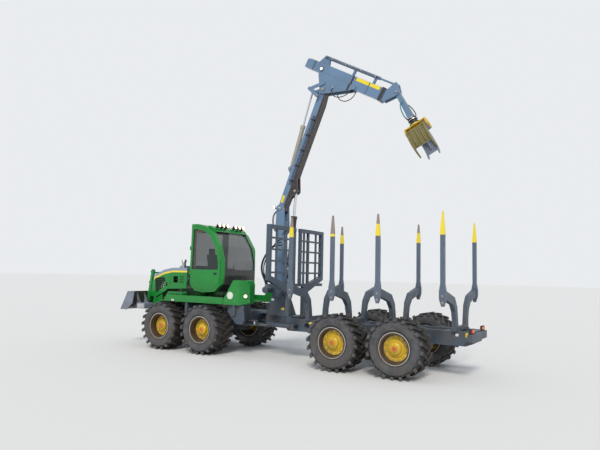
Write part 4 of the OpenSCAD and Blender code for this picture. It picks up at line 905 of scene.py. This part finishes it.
# %% Tanks
TANK_PLATE = (0.49, 1.626)
TANK_CAP = (0.24, 0.95)
TANK_CORNER = (-0.4, 1.42, 1.618)
CORNER_WAY = (0.79, -0.613)
STRAPS_X = (0.02, 0.32, 0.62)
CAP_PROFILE = ((0, 0), (0.06, 0), (0.06, 0.016), (0.052, 0.018), (0.052, 0.03), (0, 0.032))
SIGN_PROFILE = ((0, 0), (0.1, 0), (0.1, 0.003), (0.097, 0.004), (0, 0.004))
for side, s in SIDES.items():
    cap = bmesh.new()
    top = face_on("tanks", at(TANK_CAP[0], s * TANK_CAP[1], 2.6), (0, 0, -1))
    turned(cap, top, CAP_PROFILE)
    for spot in round_spots(0.052, 16):
        disc(cap, raised(top, 0.006, *spot), 0.006, 0.024, 8)
    smooth(piece(f"tank_cap_{side}", cap, plastic, "chassis"))
    x, y, z = TANK_CORNER
    corner = face_on("tanks", at(x, s * y, z), Vector((CORNER_WAY[0], s * CORNER_WAY[1], 0)))
    work_lamp(f"tank_lamp_{side}", corner, 0.05, "chassis", depth=0.036)
    heads = bmesh.new()
    for x in STRAPS_X:
        bolts(heads, side_face("tanks", x, 1.5, s), [(0, 0.0), (0, -0.035)], 0.008, 0.007)
    piece(f"tank_bolts_{side}", heads, fitting_steel, "chassis")
sign = bmesh.new()
turned(sign, side_face("tanks", *TANK_PLATE, 1), SIGN_PROFILE, 48)
piece("tank_plate", sign, white, "chassis")
print("tanks: caps, lamps, a blank round plate")

# %% [markdown]
# ## Blank plates
# Warning and type plates are thin sheet, riveted on. They stay blank. Each is given by the node it sits on, its
# place as seen from the side, its width and its height.

# %% Plates
SHEET = 0.003
RIVET_IN = 0.01
PLATES = [("sill_plate", "side_sills", "chassis", 2.597, 1.414, 0.1, 0.05, white),
          ("rack_plate", "crane_base", "load_frame", -0.248, 1.522, 0.085, 0.055, white),
          ("joint_plate", "crane_base", "load_frame", -0.62, 1.286, 0.1, 0.06, plate_yellow),
          ("beam_plate", "rear_frame", "load_frame", -1.62, 0.98, 0.12, 0.05, plate_yellow),
          ("tail_plate", "rear_frame", "load_frame", -5.62, 0.99, 0.06, 0.1, plate_yellow),
          ("type_plate", "rear_frame", "load_frame", -5.4, 0.98, 0.07, 0.06, white)]
for name, node, body, x, z, width, height, coat in PLATES:
    sheet = bmesh.new()
    place = side_face(node, x, z, 1)
    plate(sheet, place, width, height, SHEET)
    for s in (-1, 1):
        disc(sheet, raised(place, SHEET, s * (width / 2 - RIVET_IN)), 0.004, 0.002, 10)
    piece(name, sheet, coat, body)
print("plates:", len(PLATES))

# %% [markdown]
# ## Crane's rack housings
# Two hydraulic cylinders in one housing turn the pillar through a rack. Their ends are closed by round covers,
# each held by a ring of bolts.

# %% Rack covers
COVER_Z = 1.79
COVER_PROFILE = ((0, 0), (0.088, 0), (0.088, 0.012), (0.05, 0.014), (0.046, 0.022), (0.02, 0.024), (0, 0.024))
for tag, x in (("front", RACK_X), ("rear", -0.62)):
    for side, s in SIDES.items():
        cover = bmesh.new()
        place = side_face("crane_base", x, COVER_Z, s)
        turned(cover, place, COVER_PROFILE)
        bolts(cover, raised(place, 0.012), round_spots(0.069, 8, 0.39), 0.008, 0.008)
        smooth(piece(f"rack_cover_{tag}_{side}", cover, slate, "load_frame"))
print("rack housings: 4 covers")

# %% [markdown]
# ## Pins of the crane
# Each joint of the crane turns on a hardened pin. A plate with two bolts keeps the pin from turning and walking
# out, and a grease nipple sits in its middle. The plates go on both ends of every pin, on whichever of its two
# pieces stands further out.

# %% Crane's pins
def boom_spot(s, n):
    return drawn(boom @ Vector((s, 0, -n)))


HANG_LENGTH = 0.818
NIPPLE = ((0, 0), (0.004, 0), (0.004, 0.006), (0.0025, 0.01), (0, 0.011))
hang_end = tip_point + DOWN * HANG_LENGTH
PINS = [("foot_pin", FOOT, 0.062, ("crane_pillar", "pillar"), ("main_boom", "main_boom")),
        ("lift_foot_pin", (-0.64, 2.38), 0.05, ("crane_pillar", "pillar"), ("lift_barrel", "lift_barrel")),
        ("lift_eye_pin", (-0.801, 4.56), 0.05, ("main_boom", "main_boom"), ("lift_rod", "lift_rod")),
        ("knee_pin", drawn(knee_point), 0.06, ("main_boom", "main_boom"), ("outer_boom", "outer_boom")),
        ("knuckle_pin", boom_spot(1.15, 0.192), 0.045, ("main_boom", "main_boom"),
         ("knuckle_barrel", "knuckle_barrel")),
        ("link_pin", boom_spot(3.287, 0.087), 0.04, ("main_boom", "main_boom"), ("boom_link", "boom_link")),
        ("tip_pin", drawn(tip_point), 0.045, ("telescope", "telescope"), ("hanger", "hanger")),
        ("hang_pin", drawn(hang_end), 0.04, ("hanger", "hanger"), ("rotator", "grapple"))]
landed = {}
for name, spot, radius, *choices in PINS:
    for side, s in SIDES.items():
        found = []
        for node, body in choices:
            try:
                found.append((side_face(node, *spot, s), body))
            except ValueError:
                continue
        if not found:
            print("no face for", name, side)
            continue
        place, body = max(found, key=lambda item: item[0].translation.y * s)
        landed[f"{name}_{side}"] = (body, round(place.translation.y, 3))
        end = bmesh.new()
        turned(end, place, [(0, 0), (radius * 0.72, 0), (radius * 0.72, 0.006), (radius * 0.6, 0.009), (0, 0.009)])
        plate(end, raised(place, 0.008), radius * 1.9, radius * 0.62, 0.006, 0.006)
        bolts(end, raised(place, 0.014), [(-radius * 0.68, 0), (radius * 0.68, 0)], 0.009, 0.008)
        turned(end, raised(place, 0.014), NIPPLE, 8)
        smooth(piece(f"{name}_{side}", end, fitting_steel, body))
print("pins:", landed)

# %% [markdown]
# ## Plates, bands and lamps of the booms
# The outer boom carries two long blank plates, and the main boom a short one near its foot. A lamp in the
# elbow lights the grapple, and one at the pillar's head stands on an arm beside the boom's foot.

# %% Booms' plates and lamps
UP_JIB = (-math.sin(math.radians(JIB_FALL)), 0, math.cos(math.radians(JIB_FALL)))
UP_BOOM = (0.9272, 0, 0.3746)
JIB_PLATES = ((1.74, 2.15), (2.18, 2.5))
LAMP_ARM = ((-0.36, 0.12, 4.0), (-0.3, 0.17, 4.03), (-0.235, 0.172, 4.09))
LAMP_HEAD = facing(at(-0.215, 0.168, 4.115), (0.5, 0.85, -0.05))
HEAD_PROFILE = ((0, -0.02), (0.04, -0.018), (0.062, 0.0), (0.07, 0.03), (0.066, 0.04), (0.056, 0.036))


def jib_face(u, above_line, s):
    spot = jib @ Vector((u, 0, -above_line))
    return face_on("outer_boom", spot + Vector((0, s, 0)), (0, -s, 0), upward=UP_JIB)


for side, s in SIDES.items():
    for k, (low, high) in enumerate(JIB_PLATES):
        sheet = bmesh.new()
        plate(sheet, jib_face((low + high) / 2, 0.078, s), high - low, 0.092, SHEET)
        piece(f"jib_plate_{k + 1}_{side}", sheet, plate_yellow, "outer_boom")
    sheet = bmesh.new()
    spot = boom @ Vector((0.27, s, -0.05))
    plate(sheet, face_on("main_boom", spot, (0, -s, 0), upward=UP_BOOM), 0.22, 0.08, SHEET)
    piece(f"boom_plate_{side}", sheet, plate_yellow, "main_boom")
work_lamp("jib_lamp", jib_face(0.586, -0.03, 1), 0.042, "outer_boom")
tube("pillar_lamp_arm", [at(*spot) for spot in LAMP_ARM], 0.012, crane, "pillar")
housing = bmesh.new()
turned(housing, LAMP_HEAD, HEAD_PROFILE)
smooth(piece("pillar_lamp_shell", housing, chrome, "pillar"))
work_lens("pillar_lamp", raised(LAMP_HEAD, -0.012), 0.055, "pillar")
print("booms: plates and lamps")

# %% [markdown]
# ## Pipes and wrapped hoses of the crane
# Oil goes up the main boom in steel pipes that lie side by side in clamps. Along the outer boom it goes in
# hoses, and a spiral guard is wound round them where they could rub. Pipes are tubes along straight lines, the
# guard is a helix.

# %% Crane's pipes
PIPE_N = (-0.03, -0.004, 0.022)
PIPE_RUN = (0.72, 2.75)
CLAMP_COUNT = 5
CLAMP_FROM_END = 0.12
CLAMP_HALF = Vector((0.022, 0.017, 0.052))
for side, s in SIDES.items():
    wall = face_on("main_boom", boom @ Vector((1.6, s, 0.0)), (0, -s, 0)).translation.y
    for k, n in enumerate(PIPE_N):
        ends = [boom @ Vector((run, wall + s * 0.019, -n)) for run in PIPE_RUN]
        tube(f"boom_pipe_{k + 1}_{side}", ends, 0.0095, pipe_paint, "main_boom")
    clamps = bmesh.new()
    span = (PIPE_RUN[1] - PIPE_RUN[0] - 2 * CLAMP_FROM_END) / (CLAMP_COUNT - 1)
    for k in range(CLAMP_COUNT):
        spot = (PIPE_RUN[0] + CLAMP_FROM_END + k * span, wall + s * 0.017, -PIPE_N[1])
        block(clamps, -CLAMP_HALF, CLAMP_HALF, boom @ Matrix.Translation(spot))
    soften(piece(f"pipe_clamps_{side}", clamps, plastic, "main_boom"), 0.004)

GUARD_RUN = (0.62, 2.26)
GUARD_UP = 0.33
GUARD_R = 0.017
GUARD_PITCH = 0.04
COIL_SPOTS = 6
HOSE_OUT = 0.068
HOSE_LINE = ((0.5, 0.03), (0.62, 0.0), (1.1, 0.004), (1.7, -0.004), (2.2, 0.0), (2.3, 0.01))
STRAPS_U = (0.72, 1.2, 1.7, 2.2)
turns = int((GUARD_RUN[1] - GUARD_RUN[0]) / GUARD_PITCH)
straps = bmesh.new()
for side, s in SIDES.items():
    core = [jib @ Vector((u, s * HOSE_OUT, -GUARD_UP + lift)) for u, lift in HOSE_LINE]
    tube(f"jib_hose_{side}", core, 0.013, hose_black, "outer_boom")
    coil = []
    for k in range(turns * COIL_SPOTS + 1):
        a = 2 * math.pi * k / COIL_SPOTS
        coil.append(jib @ Vector((GUARD_RUN[0] + GUARD_PITCH * k / COIL_SPOTS, s * HOSE_OUT + GUARD_R * math.cos(a),
                                  -GUARD_UP + GUARD_R * math.sin(a))))
    tube(f"hose_guard_{side}", coil, 0.006, guard_grey, "outer_boom", steps=2)
for u in STRAPS_U:
    for s in (1, -1):
        low = jib @ Vector((u, s * HOSE_OUT, -GUARD_UP))
        ring(straps, toward(low, jib.to_3x3() @ Vector((1, 0, 0))), 0.0215, 0.027, 0.03, 20)
piece("hose_straps", straps, steel, "outer_boom")
print("pipes and hoses:", 2 * len(PIPE_N), "pipes,", turns, "turns of guard")

# %% [markdown]
# ## Cab's fittings
# The cab carries lamps in a row on the roof's rear edge, the door's handle and the rim of the door's lower
# panel. A strip of tan trim lines the door's glass inside.

# %% Cab's fittings
ROOF_LAMP = Vector((-0.951, 0, 0.309))
ROOF_LAMPS_Y = (-0.56, -0.38, -0.19, 0.19, 0.38, 0.56)
ROOF_LENS = ((0.054, 0), (0.052, 0.003), (0.03, 0.006), (0, 0.007))
HANDLE_Z = 2.2
HANDLE = ((1.29, 0.004), (1.295, 0.034), (1.365, 0.036), (1.372, 0.004))
DOOR_TRIM = (((2.11, 0.807, 2.34), (2.18, 0.818, 3.40)), ((1.62, 0.807, 3.40), (2.18, 0.818, 3.455)))
for k, y in enumerate(ROOF_LAMPS_Y):
    lens = bmesh.new()
    turned(lens, facing(at(1.53, y, 3.59) + ROOF_LAMP * 0.0765, ROOF_LAMP), ROOF_LENS, 28)
    smooth(piece(f"roof_lamp_{k + 1}", lens, work_light, "cab"))
door_y = face_on("door_frame", at(1.9, 2.0, 1.95), (0, -1, 0)).translation.y
trim = bmesh.new()
plate(trim, facing(at(1.33, door_y, HANDLE_Z), (0, 1, 0)), 0.11, 0.05, 0.006)
smooth(piece("door_handle_plate", trim, plastic, "door"))
tube("door_handle", [at(x, door_y + out, HANDLE_Z) for x, out in HANDLE], 0.0075, plastic, "door")
strip = bmesh.new()
block(strip, at(1.3, door_y - 0.004, 2.24), at(2.16, door_y + 0.006, 2.255))
soften(piece("door_rim", strip, green, "door"), 0.003)
inner = bmesh.new()
for low, high in DOOR_TRIM:
    block(inner, at(*low), at(*high))
soften(piece("door_trim", inner, trim_tan, "door"), 0.004)
print("cab: roof lamps, door handle, tan trim")

# %% [markdown]
# ## The seat
# A harvester operator's seat is foam in woven cloth over a steel pan. Cloth that is blown up a little from
# inside, with its gravity off, rounds a cushion the way foam does: it bulges in the middle and stays tight at
# its edges. The back, the seat and the headrest are made that way. Beside the pan are the armrests with the
# crane's two levers, and in front of it stands a screen on its stalk.

# %% Seat
SEAT_X = 1.83
SEAT_FLOOR = 1.79
CUSHION_GRID = 0.007
PUFF_FRAMES = 12
PUFF_PRESSURE = 4.0
PUFF_MOST = 0.02
CLOTH_STIFF = 40


def cushion(name, low, high, tilt=0.0):
    bm = bmesh.new()
    half = (Vector(high) - Vector(low)) / 2
    block(bm, -half, half)
    bmesh.ops.bevel(bm, geom=bm.edges[:], offset=min(half) * 0.7, segments=3, affect="EDGES", profile=0.6)
    centre = (Vector(low) + Vector(high)) / 2
    place = Matrix.Translation(at(*centre)) @ Matrix.Rotation(math.radians(tilt), 4, "Y")
    pad = piece(name, bm, seat_cloth, "cab", place)
    grid = pad.modifiers.new("grid", "REMESH")
    grid.mode = "VOXEL"
    grid.voxel_size = CUSHION_GRID
    bpy.context.view_layer.objects.active = pad
    bpy.ops.object.modifier_apply(modifier="grid")
    start = [v.co.copy() for v in pad.data.vertices]
    cloth = pad.modifiers.new("puff", "CLOTH")
    cloth.settings.use_pressure = True
    cloth.settings.uniform_pressure_force = PUFF_PRESSURE
    cloth.settings.effector_weights.gravity = 0
    cloth.settings.tension_stiffness = CLOTH_STIFF
    cloth.settings.compression_stiffness = CLOTH_STIFF
    for step in range(1, PUFF_FRAMES + 1):
        bpy.context.scene.frame_set(step)
    bpy.ops.object.modifier_apply(modifier="puff")
    bpy.context.scene.frame_set(1)
    for vertex, before in zip(pad.data.vertices, start):
        moved = vertex.co - before
        if moved.length > PUFF_MOST:
            vertex.co = before + moved.normalized() * PUFF_MOST
    for polygon in pad.data.polygons:
        polygon.use_smooth = True
    return pad


PADS = {"seat_cushion": ((1.585, -0.24, 2.06), (2.055, 0.24, 2.195), 3),
        "seat_back": ((2.075, -0.23, 2.17), (2.185, 0.23, 2.78), 9),
        "seat_headrest": ((2.155, -0.12, 2.775), (2.245, 0.12, 2.95), 9)}
pads = [cushion(name, *spec) for name, spec in PADS.items()]

PEDESTAL = ((0, 0), (0.148, 0), (0.148, 0.018), (0.12, 0.03), (0.1, 0.1), (0.115, 0.15), (0.1, 0.2), (0.12, 0.235),
            (0, 0.235))
PAN_BLOCKS = (((1.6, -0.225, 2.03), (2.07, 0.225, 2.062)), ((2.07, -0.2, 2.0), (2.12, 0.2, 2.2)))
LEVER_X, ARM_Y, ARM_TOP = 1.61, 0.34, 2.352
LEVER_KNOB = ((0, 0), (0.015, 0), (0.019, 0.018), (0.02, 0.04), (0.012, 0.056), (0, 0.06))
ARM_OUTLINE = ((1.565, 2.29), (1.6, 2.282), (1.9, 2.282), (1.955, 2.31), (1.955, 2.345), (1.9, 2.352),
               (1.6, 2.352), (1.565, 2.335))
ARM_HALF = 0.036
pan = bmesh.new()
arms = bmesh.new()
turned(pan, Matrix.Translation(at(SEAT_X, 0, SEAT_FLOOR)), PEDESTAL)
for low, high in PAN_BLOCKS:
    block(pan, at(*low), at(*high))
for s in (1, -1):
    block(pan, at(1.7, s * 0.27 - 0.012, 2.08), at(1.78, s * 0.27 + 0.012, 2.3))
    disc(pan, toward(at(LEVER_X, s * ARM_Y, ARM_TOP), (0, 0, 1)), 0.032, 0.014, 20, 0.022)
    disc(pan, toward(at(LEVER_X, s * ARM_Y, ARM_TOP + 0.014), (0.05, 0, 1)), 0.009, 0.034, 12)
    turned(pan, toward(at(LEVER_X + 0.001, s * ARM_Y, ARM_TOP + 0.043), (0.06, 0, 1)), LEVER_KNOB, 16)
    slab(arms, [(x + JOINT_X, z) for x, z in ARM_OUTLINE], s * ARM_Y - ARM_HALF, s * ARM_Y + ARM_HALF)
seat_frame = soften(piece("seat_frame", pan, plastic, "cab"), 0.003)
armrests = soften(piece("armrests", arms, plastic, "cab"), 0.012, 3)

STALK = ((1.375, -0.012, SEAT_FLOOR), (1.405, 0.012, 2.06))
SCREEN_PLACE = Matrix.Translation(at(1.39, 0, 2.17)) @ Matrix.Rotation(math.radians(-22), 4, "Y")
SCREEN_BLOCKS = (((-0.02, -0.17, -0.12), (0.016, 0.17, 0.12)), ((0.01, -0.15, -0.1), (0.018, 0.15, 0.1)))
screen = bmesh.new()
block(screen, at(*STALK[0]), at(*STALK[1]))
for low, high in SCREEN_BLOCKS:
    block(screen, low, high, SCREEN_PLACE)
display = soften(piece("screen", screen, plastic, "cab"), 0.004)
for part in (*pads, seat_frame, armrests, display):
    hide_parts("cab_seat")
print("seat:", [len(p.data.polygons) for p in pads], "faces in its pads")

# %% [markdown]
# ## Hood and bumper
# A rubber latch holds the hood down at each side, and a row of screws runs above it. The bumper's end boxes are
# pale, and their lids are screwed on.

# %% Hood's fittings
LATCH = (3.36, 1.84)
HOOD_SCREWS_X = (3.25, 3.45, 3.66)
HOOD_SCREWS_Z = 2.14
LID = (3.8, 1.185)
LID_SCREWS = [(x, y) for x in (-0.115, 0.115) for y in (-0.042, 0.042)]
for side, s in SIDES.items():
    latch = bmesh.new()
    place = side_face("hood_shell", *LATCH, s)
    plate(latch, place, 0.05, 0.11, 0.008, 0.012)
    plate(latch, raised(place, 0.008, 0, -0.01), 0.03, 0.07, 0.012, 0.01)
    bolts(latch, raised(place, 0.008), [(0, 0.042), (0, -0.05)], 0.006, 0.004)
    smooth(piece(f"hood_latches_{side}", latch, plastic, "hood"))
    screws = bmesh.new()
    for x in HOOD_SCREWS_X:
        disc(screws, side_face("hood_shell", x, HOOD_SCREWS_Z, s), 0.009, 0.004, 10)
    smooth(piece(f"hood_screws_{side}", screws, fitting_steel, "hood"))
    lid = bmesh.new()
    place = side_face("front_frame", *LID, s)
    plate(lid, place, 0.27, 0.12, 0.004, 0.012)
    bolts(lid, raised(place, 0.004), LID_SCREWS, 0.008, 0.005)
    smooth(piece(f"bumper_lid_{side}", lid, pale_grey, "chassis"))
print("hood: latches, screws; bumper: lids")

# %% [markdown]
# ## Steps and treads
# The sills are the way up to the cab. Their tops carry punched treads: rows of small raised rings that bite
# into a boot's sole and let mud through.

# %% Treads
TREAD_RUNS_X = (1.0, 1.5, 2.0)
TREAD_STEP = (0.062, 0.055)
TREAD_Y = 0.98
TREAD_RING = ((0.017, 0), (0.014, 0.006), (0.009, 0.006), (0.008, 0))
for side, s in SIDES.items():
    tread = bmesh.new()
    spots = [(x + TREAD_STEP[0] * i, TREAD_Y + TREAD_STEP[1] * k)
             for x in TREAD_RUNS_X for i in range(7) for k in range(3)]
    for x, y in spots:
        try:
            turned(tread, face_on("side_sills", at(x, s * y, 3.0), (0, 0, -1)), TREAD_RING, 10)
        except ValueError:
            continue
    smooth(piece(f"tread_{side}", tread, slate, "chassis"))
print("treads on both sills")

# %% [markdown]
# ## Rear frame
# Every stake sits in a sleeve that two cross bolts hold. On the rear deck stands a lamp box on each side, with a
# tail lamp and a turn lamp. Groups of four bolt heads stand along the outer sides of the beams.

# %% Rear frame's fittings
BUNK_X = (-1.56, -2.72, -3.88, -5.36)
SLEEVE_Z = (1.72, 1.86)
LAMP_X = -5.76
LAMP_UP = 0.056
BOX_Y, BOX_HALF = 0.5, 0.125
TAIL_LAMPS = (("tail_lamp", 0.56, 0.048, lamp_red), ("turn_lamp", 0.445, 0.036, lamp_amber))
LAMP_PROFILE = ((0, 0), (1, 0), (1, 0.01), (0.9, 0.014), (0.6, 0.017), (0, 0.018))
BEAM_BOLTS_X = (-1.15, -2.05, -3.35, -4.6)
FOUR_HEADS = ((-0.05, 0.03), (0.05, 0.03), (-0.05, -0.03), (0.05, -0.03))
for side, s in SIDES.items():
    heads = bmesh.new()
    for x, z in ((x, z) for x in BUNK_X for z in SLEEVE_Z):
        try:
            place = side_face("stakes", x, z, s)
        except ValueError:
            place = side_face("bunks", x, z, s)
        bolts(heads, place, [(0, 0)], 0.018, 0.014)
    smooth(piece(f"stake_bolts_{side}", heads, fitting_steel, "load_frame"))
    deck = face_on("rear_frame", at(LAMP_X, s * 0.56, 3.0), (0, 0, -1)).translation.z
    box = bmesh.new()
    block(box, at(LAMP_X, s * BOX_Y - BOX_HALF, deck - 0.001), at(LAMP_X + 0.045, s * BOX_Y + BOX_HALF, deck + 0.112))
    soften(piece(f"lamp_box_{side}", box, plastic, "load_frame"), 0.008)
    for name, y, radius, coat in TAIL_LAMPS:
        lens = bmesh.new()
        turned(lens, facing(at(LAMP_X, s * y, deck + LAMP_UP), (-1, 0, 0)), [(radius * r, h) for r, h in LAMP_PROFILE])
        smooth(piece(f"{name}_{side}", lens, coat, "load_frame"))
    bars = bmesh.new()
    for x in BEAM_BOLTS_X:
        bolts(bars, side_face("rear_frame", x, 0.98, s), FOUR_HEADS, 0.011, 0.009)
    smooth(piece(f"beam_bolts_{side}", bars, slate, "load_frame"))
print("rear frame: stake bolts, lamps, beam bolts")

# %% [markdown]
# ## Rotator
# The rotator is a small oil motor that turns the grapple. Its flange is held by a ring of twelve bolts.

# %% Rotator's ring
FLANGE_ALONG = 0.86
FLANGE_BOLTS = 12
flange_place = hanger @ Matrix.Translation((FLANGE_ALONG, 0, 0)) @ Matrix.Rotation(math.pi / 2, 4, "Y")
flange = bmesh.new()
ring(flange, flange_place, 0.105, 0.128, 0.02, 40)
bolts(flange, raised(flange_place, 0.02), round_spots(0.116, FLANGE_BOLTS), 0.009, 0.01)
smooth(piece("rotator_ring", flange, fitting_steel, "grapple"))
print("rotator: ring of", FLANGE_BOLTS, "bolts")

# %% [markdown]
# ## Engine's dressing
# With the hood open the engine shows. On its side stand three filters, on top lies the ribbed cover, and at the
# front are three pulleys. They are cast, turned and pressed pieces.

# %% Engine's dressing
ENGINE_LOW, ENGINE_HIGH = (Vector(corner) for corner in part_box("engine_block"))
ENGINE_MID = (ENGINE_LOW + ENGINE_HIGH) / 2
FILTER_SPOTS = ((-0.22, 0.06, 0.15), (-0.06, 0.05, 0.12), (0.1, 0.05, 0.12))
PULLEYS = ((0.0, -0.2, 0.1), (-0.13, 0.12, 0.06), (0.13, 0.1, 0.055))
RIB_COUNT = 7
RIB_STEP = 0.095
filters = bmesh.new()
for dx, radius, height in FILTER_SPOTS:
    foot = Vector((ENGINE_MID.x + dx, ENGINE_HIGH.y + radius + 0.008, ENGINE_MID.z - 0.12))
    turned(filters, Matrix.Translation(foot),
           [(0, 0), (radius * 0.7, 0), (radius, 0.02), (radius, height), (radius * 0.8, height + 0.012),
            (radius * 0.5, height + 0.03), (0, height + 0.03)])
    block(filters, (foot.x - 0.02, ENGINE_HIGH.y - 0.002, foot.z + height),
          (foot.x + 0.02, ENGINE_HIGH.y + radius, foot.z + height + 0.024))
smooth(piece("engine_filters", filters, white, "chassis"))
pulleys = bmesh.new()
for y, z, radius in PULLEYS:
    groove = radius - 0.008
    turned(pulleys, toward((ENGINE_HIGH.x, ENGINE_MID.y + y, ENGINE_MID.z + z), (1, 0, 0)),
           [(0, 0), (radius, 0), (radius, 0.01), (groove, 0.014), (groove, 0.026), (radius, 0.03), (radius, 0.036),
            (0.03, 0.038), (0.024, 0.044), (0, 0.044)], 36)
smooth(piece("engine_pulleys", pulleys, fitting_steel, "chassis"))
cover = bmesh.new()
block(cover, (ENGINE_LOW.x + 0.08, -0.11, ENGINE_HIGH.z - 0.002), (ENGINE_HIGH.x - 0.06, 0.11, ENGINE_HIGH.z + 0.05))
for k in range(RIB_COUNT):
    rib = ENGINE_LOW.x + 0.14 + RIB_STEP * k
    block(cover, (rib, -0.105, ENGINE_HIGH.z + 0.049), (rib + 0.018, 0.105, ENGINE_HIGH.z + 0.062))
soften(piece("engine_cover", cover, pale_grey, "chassis"), 0.006)
print("engine:", len(FILTER_SPOTS), "filters,", len(PULLEYS), "pulleys")

# %% [markdown]
# ## The end
# The view is left in the standard transform.

# %% End
bpy.context.scene.view_settings.view_transform = "Standard"
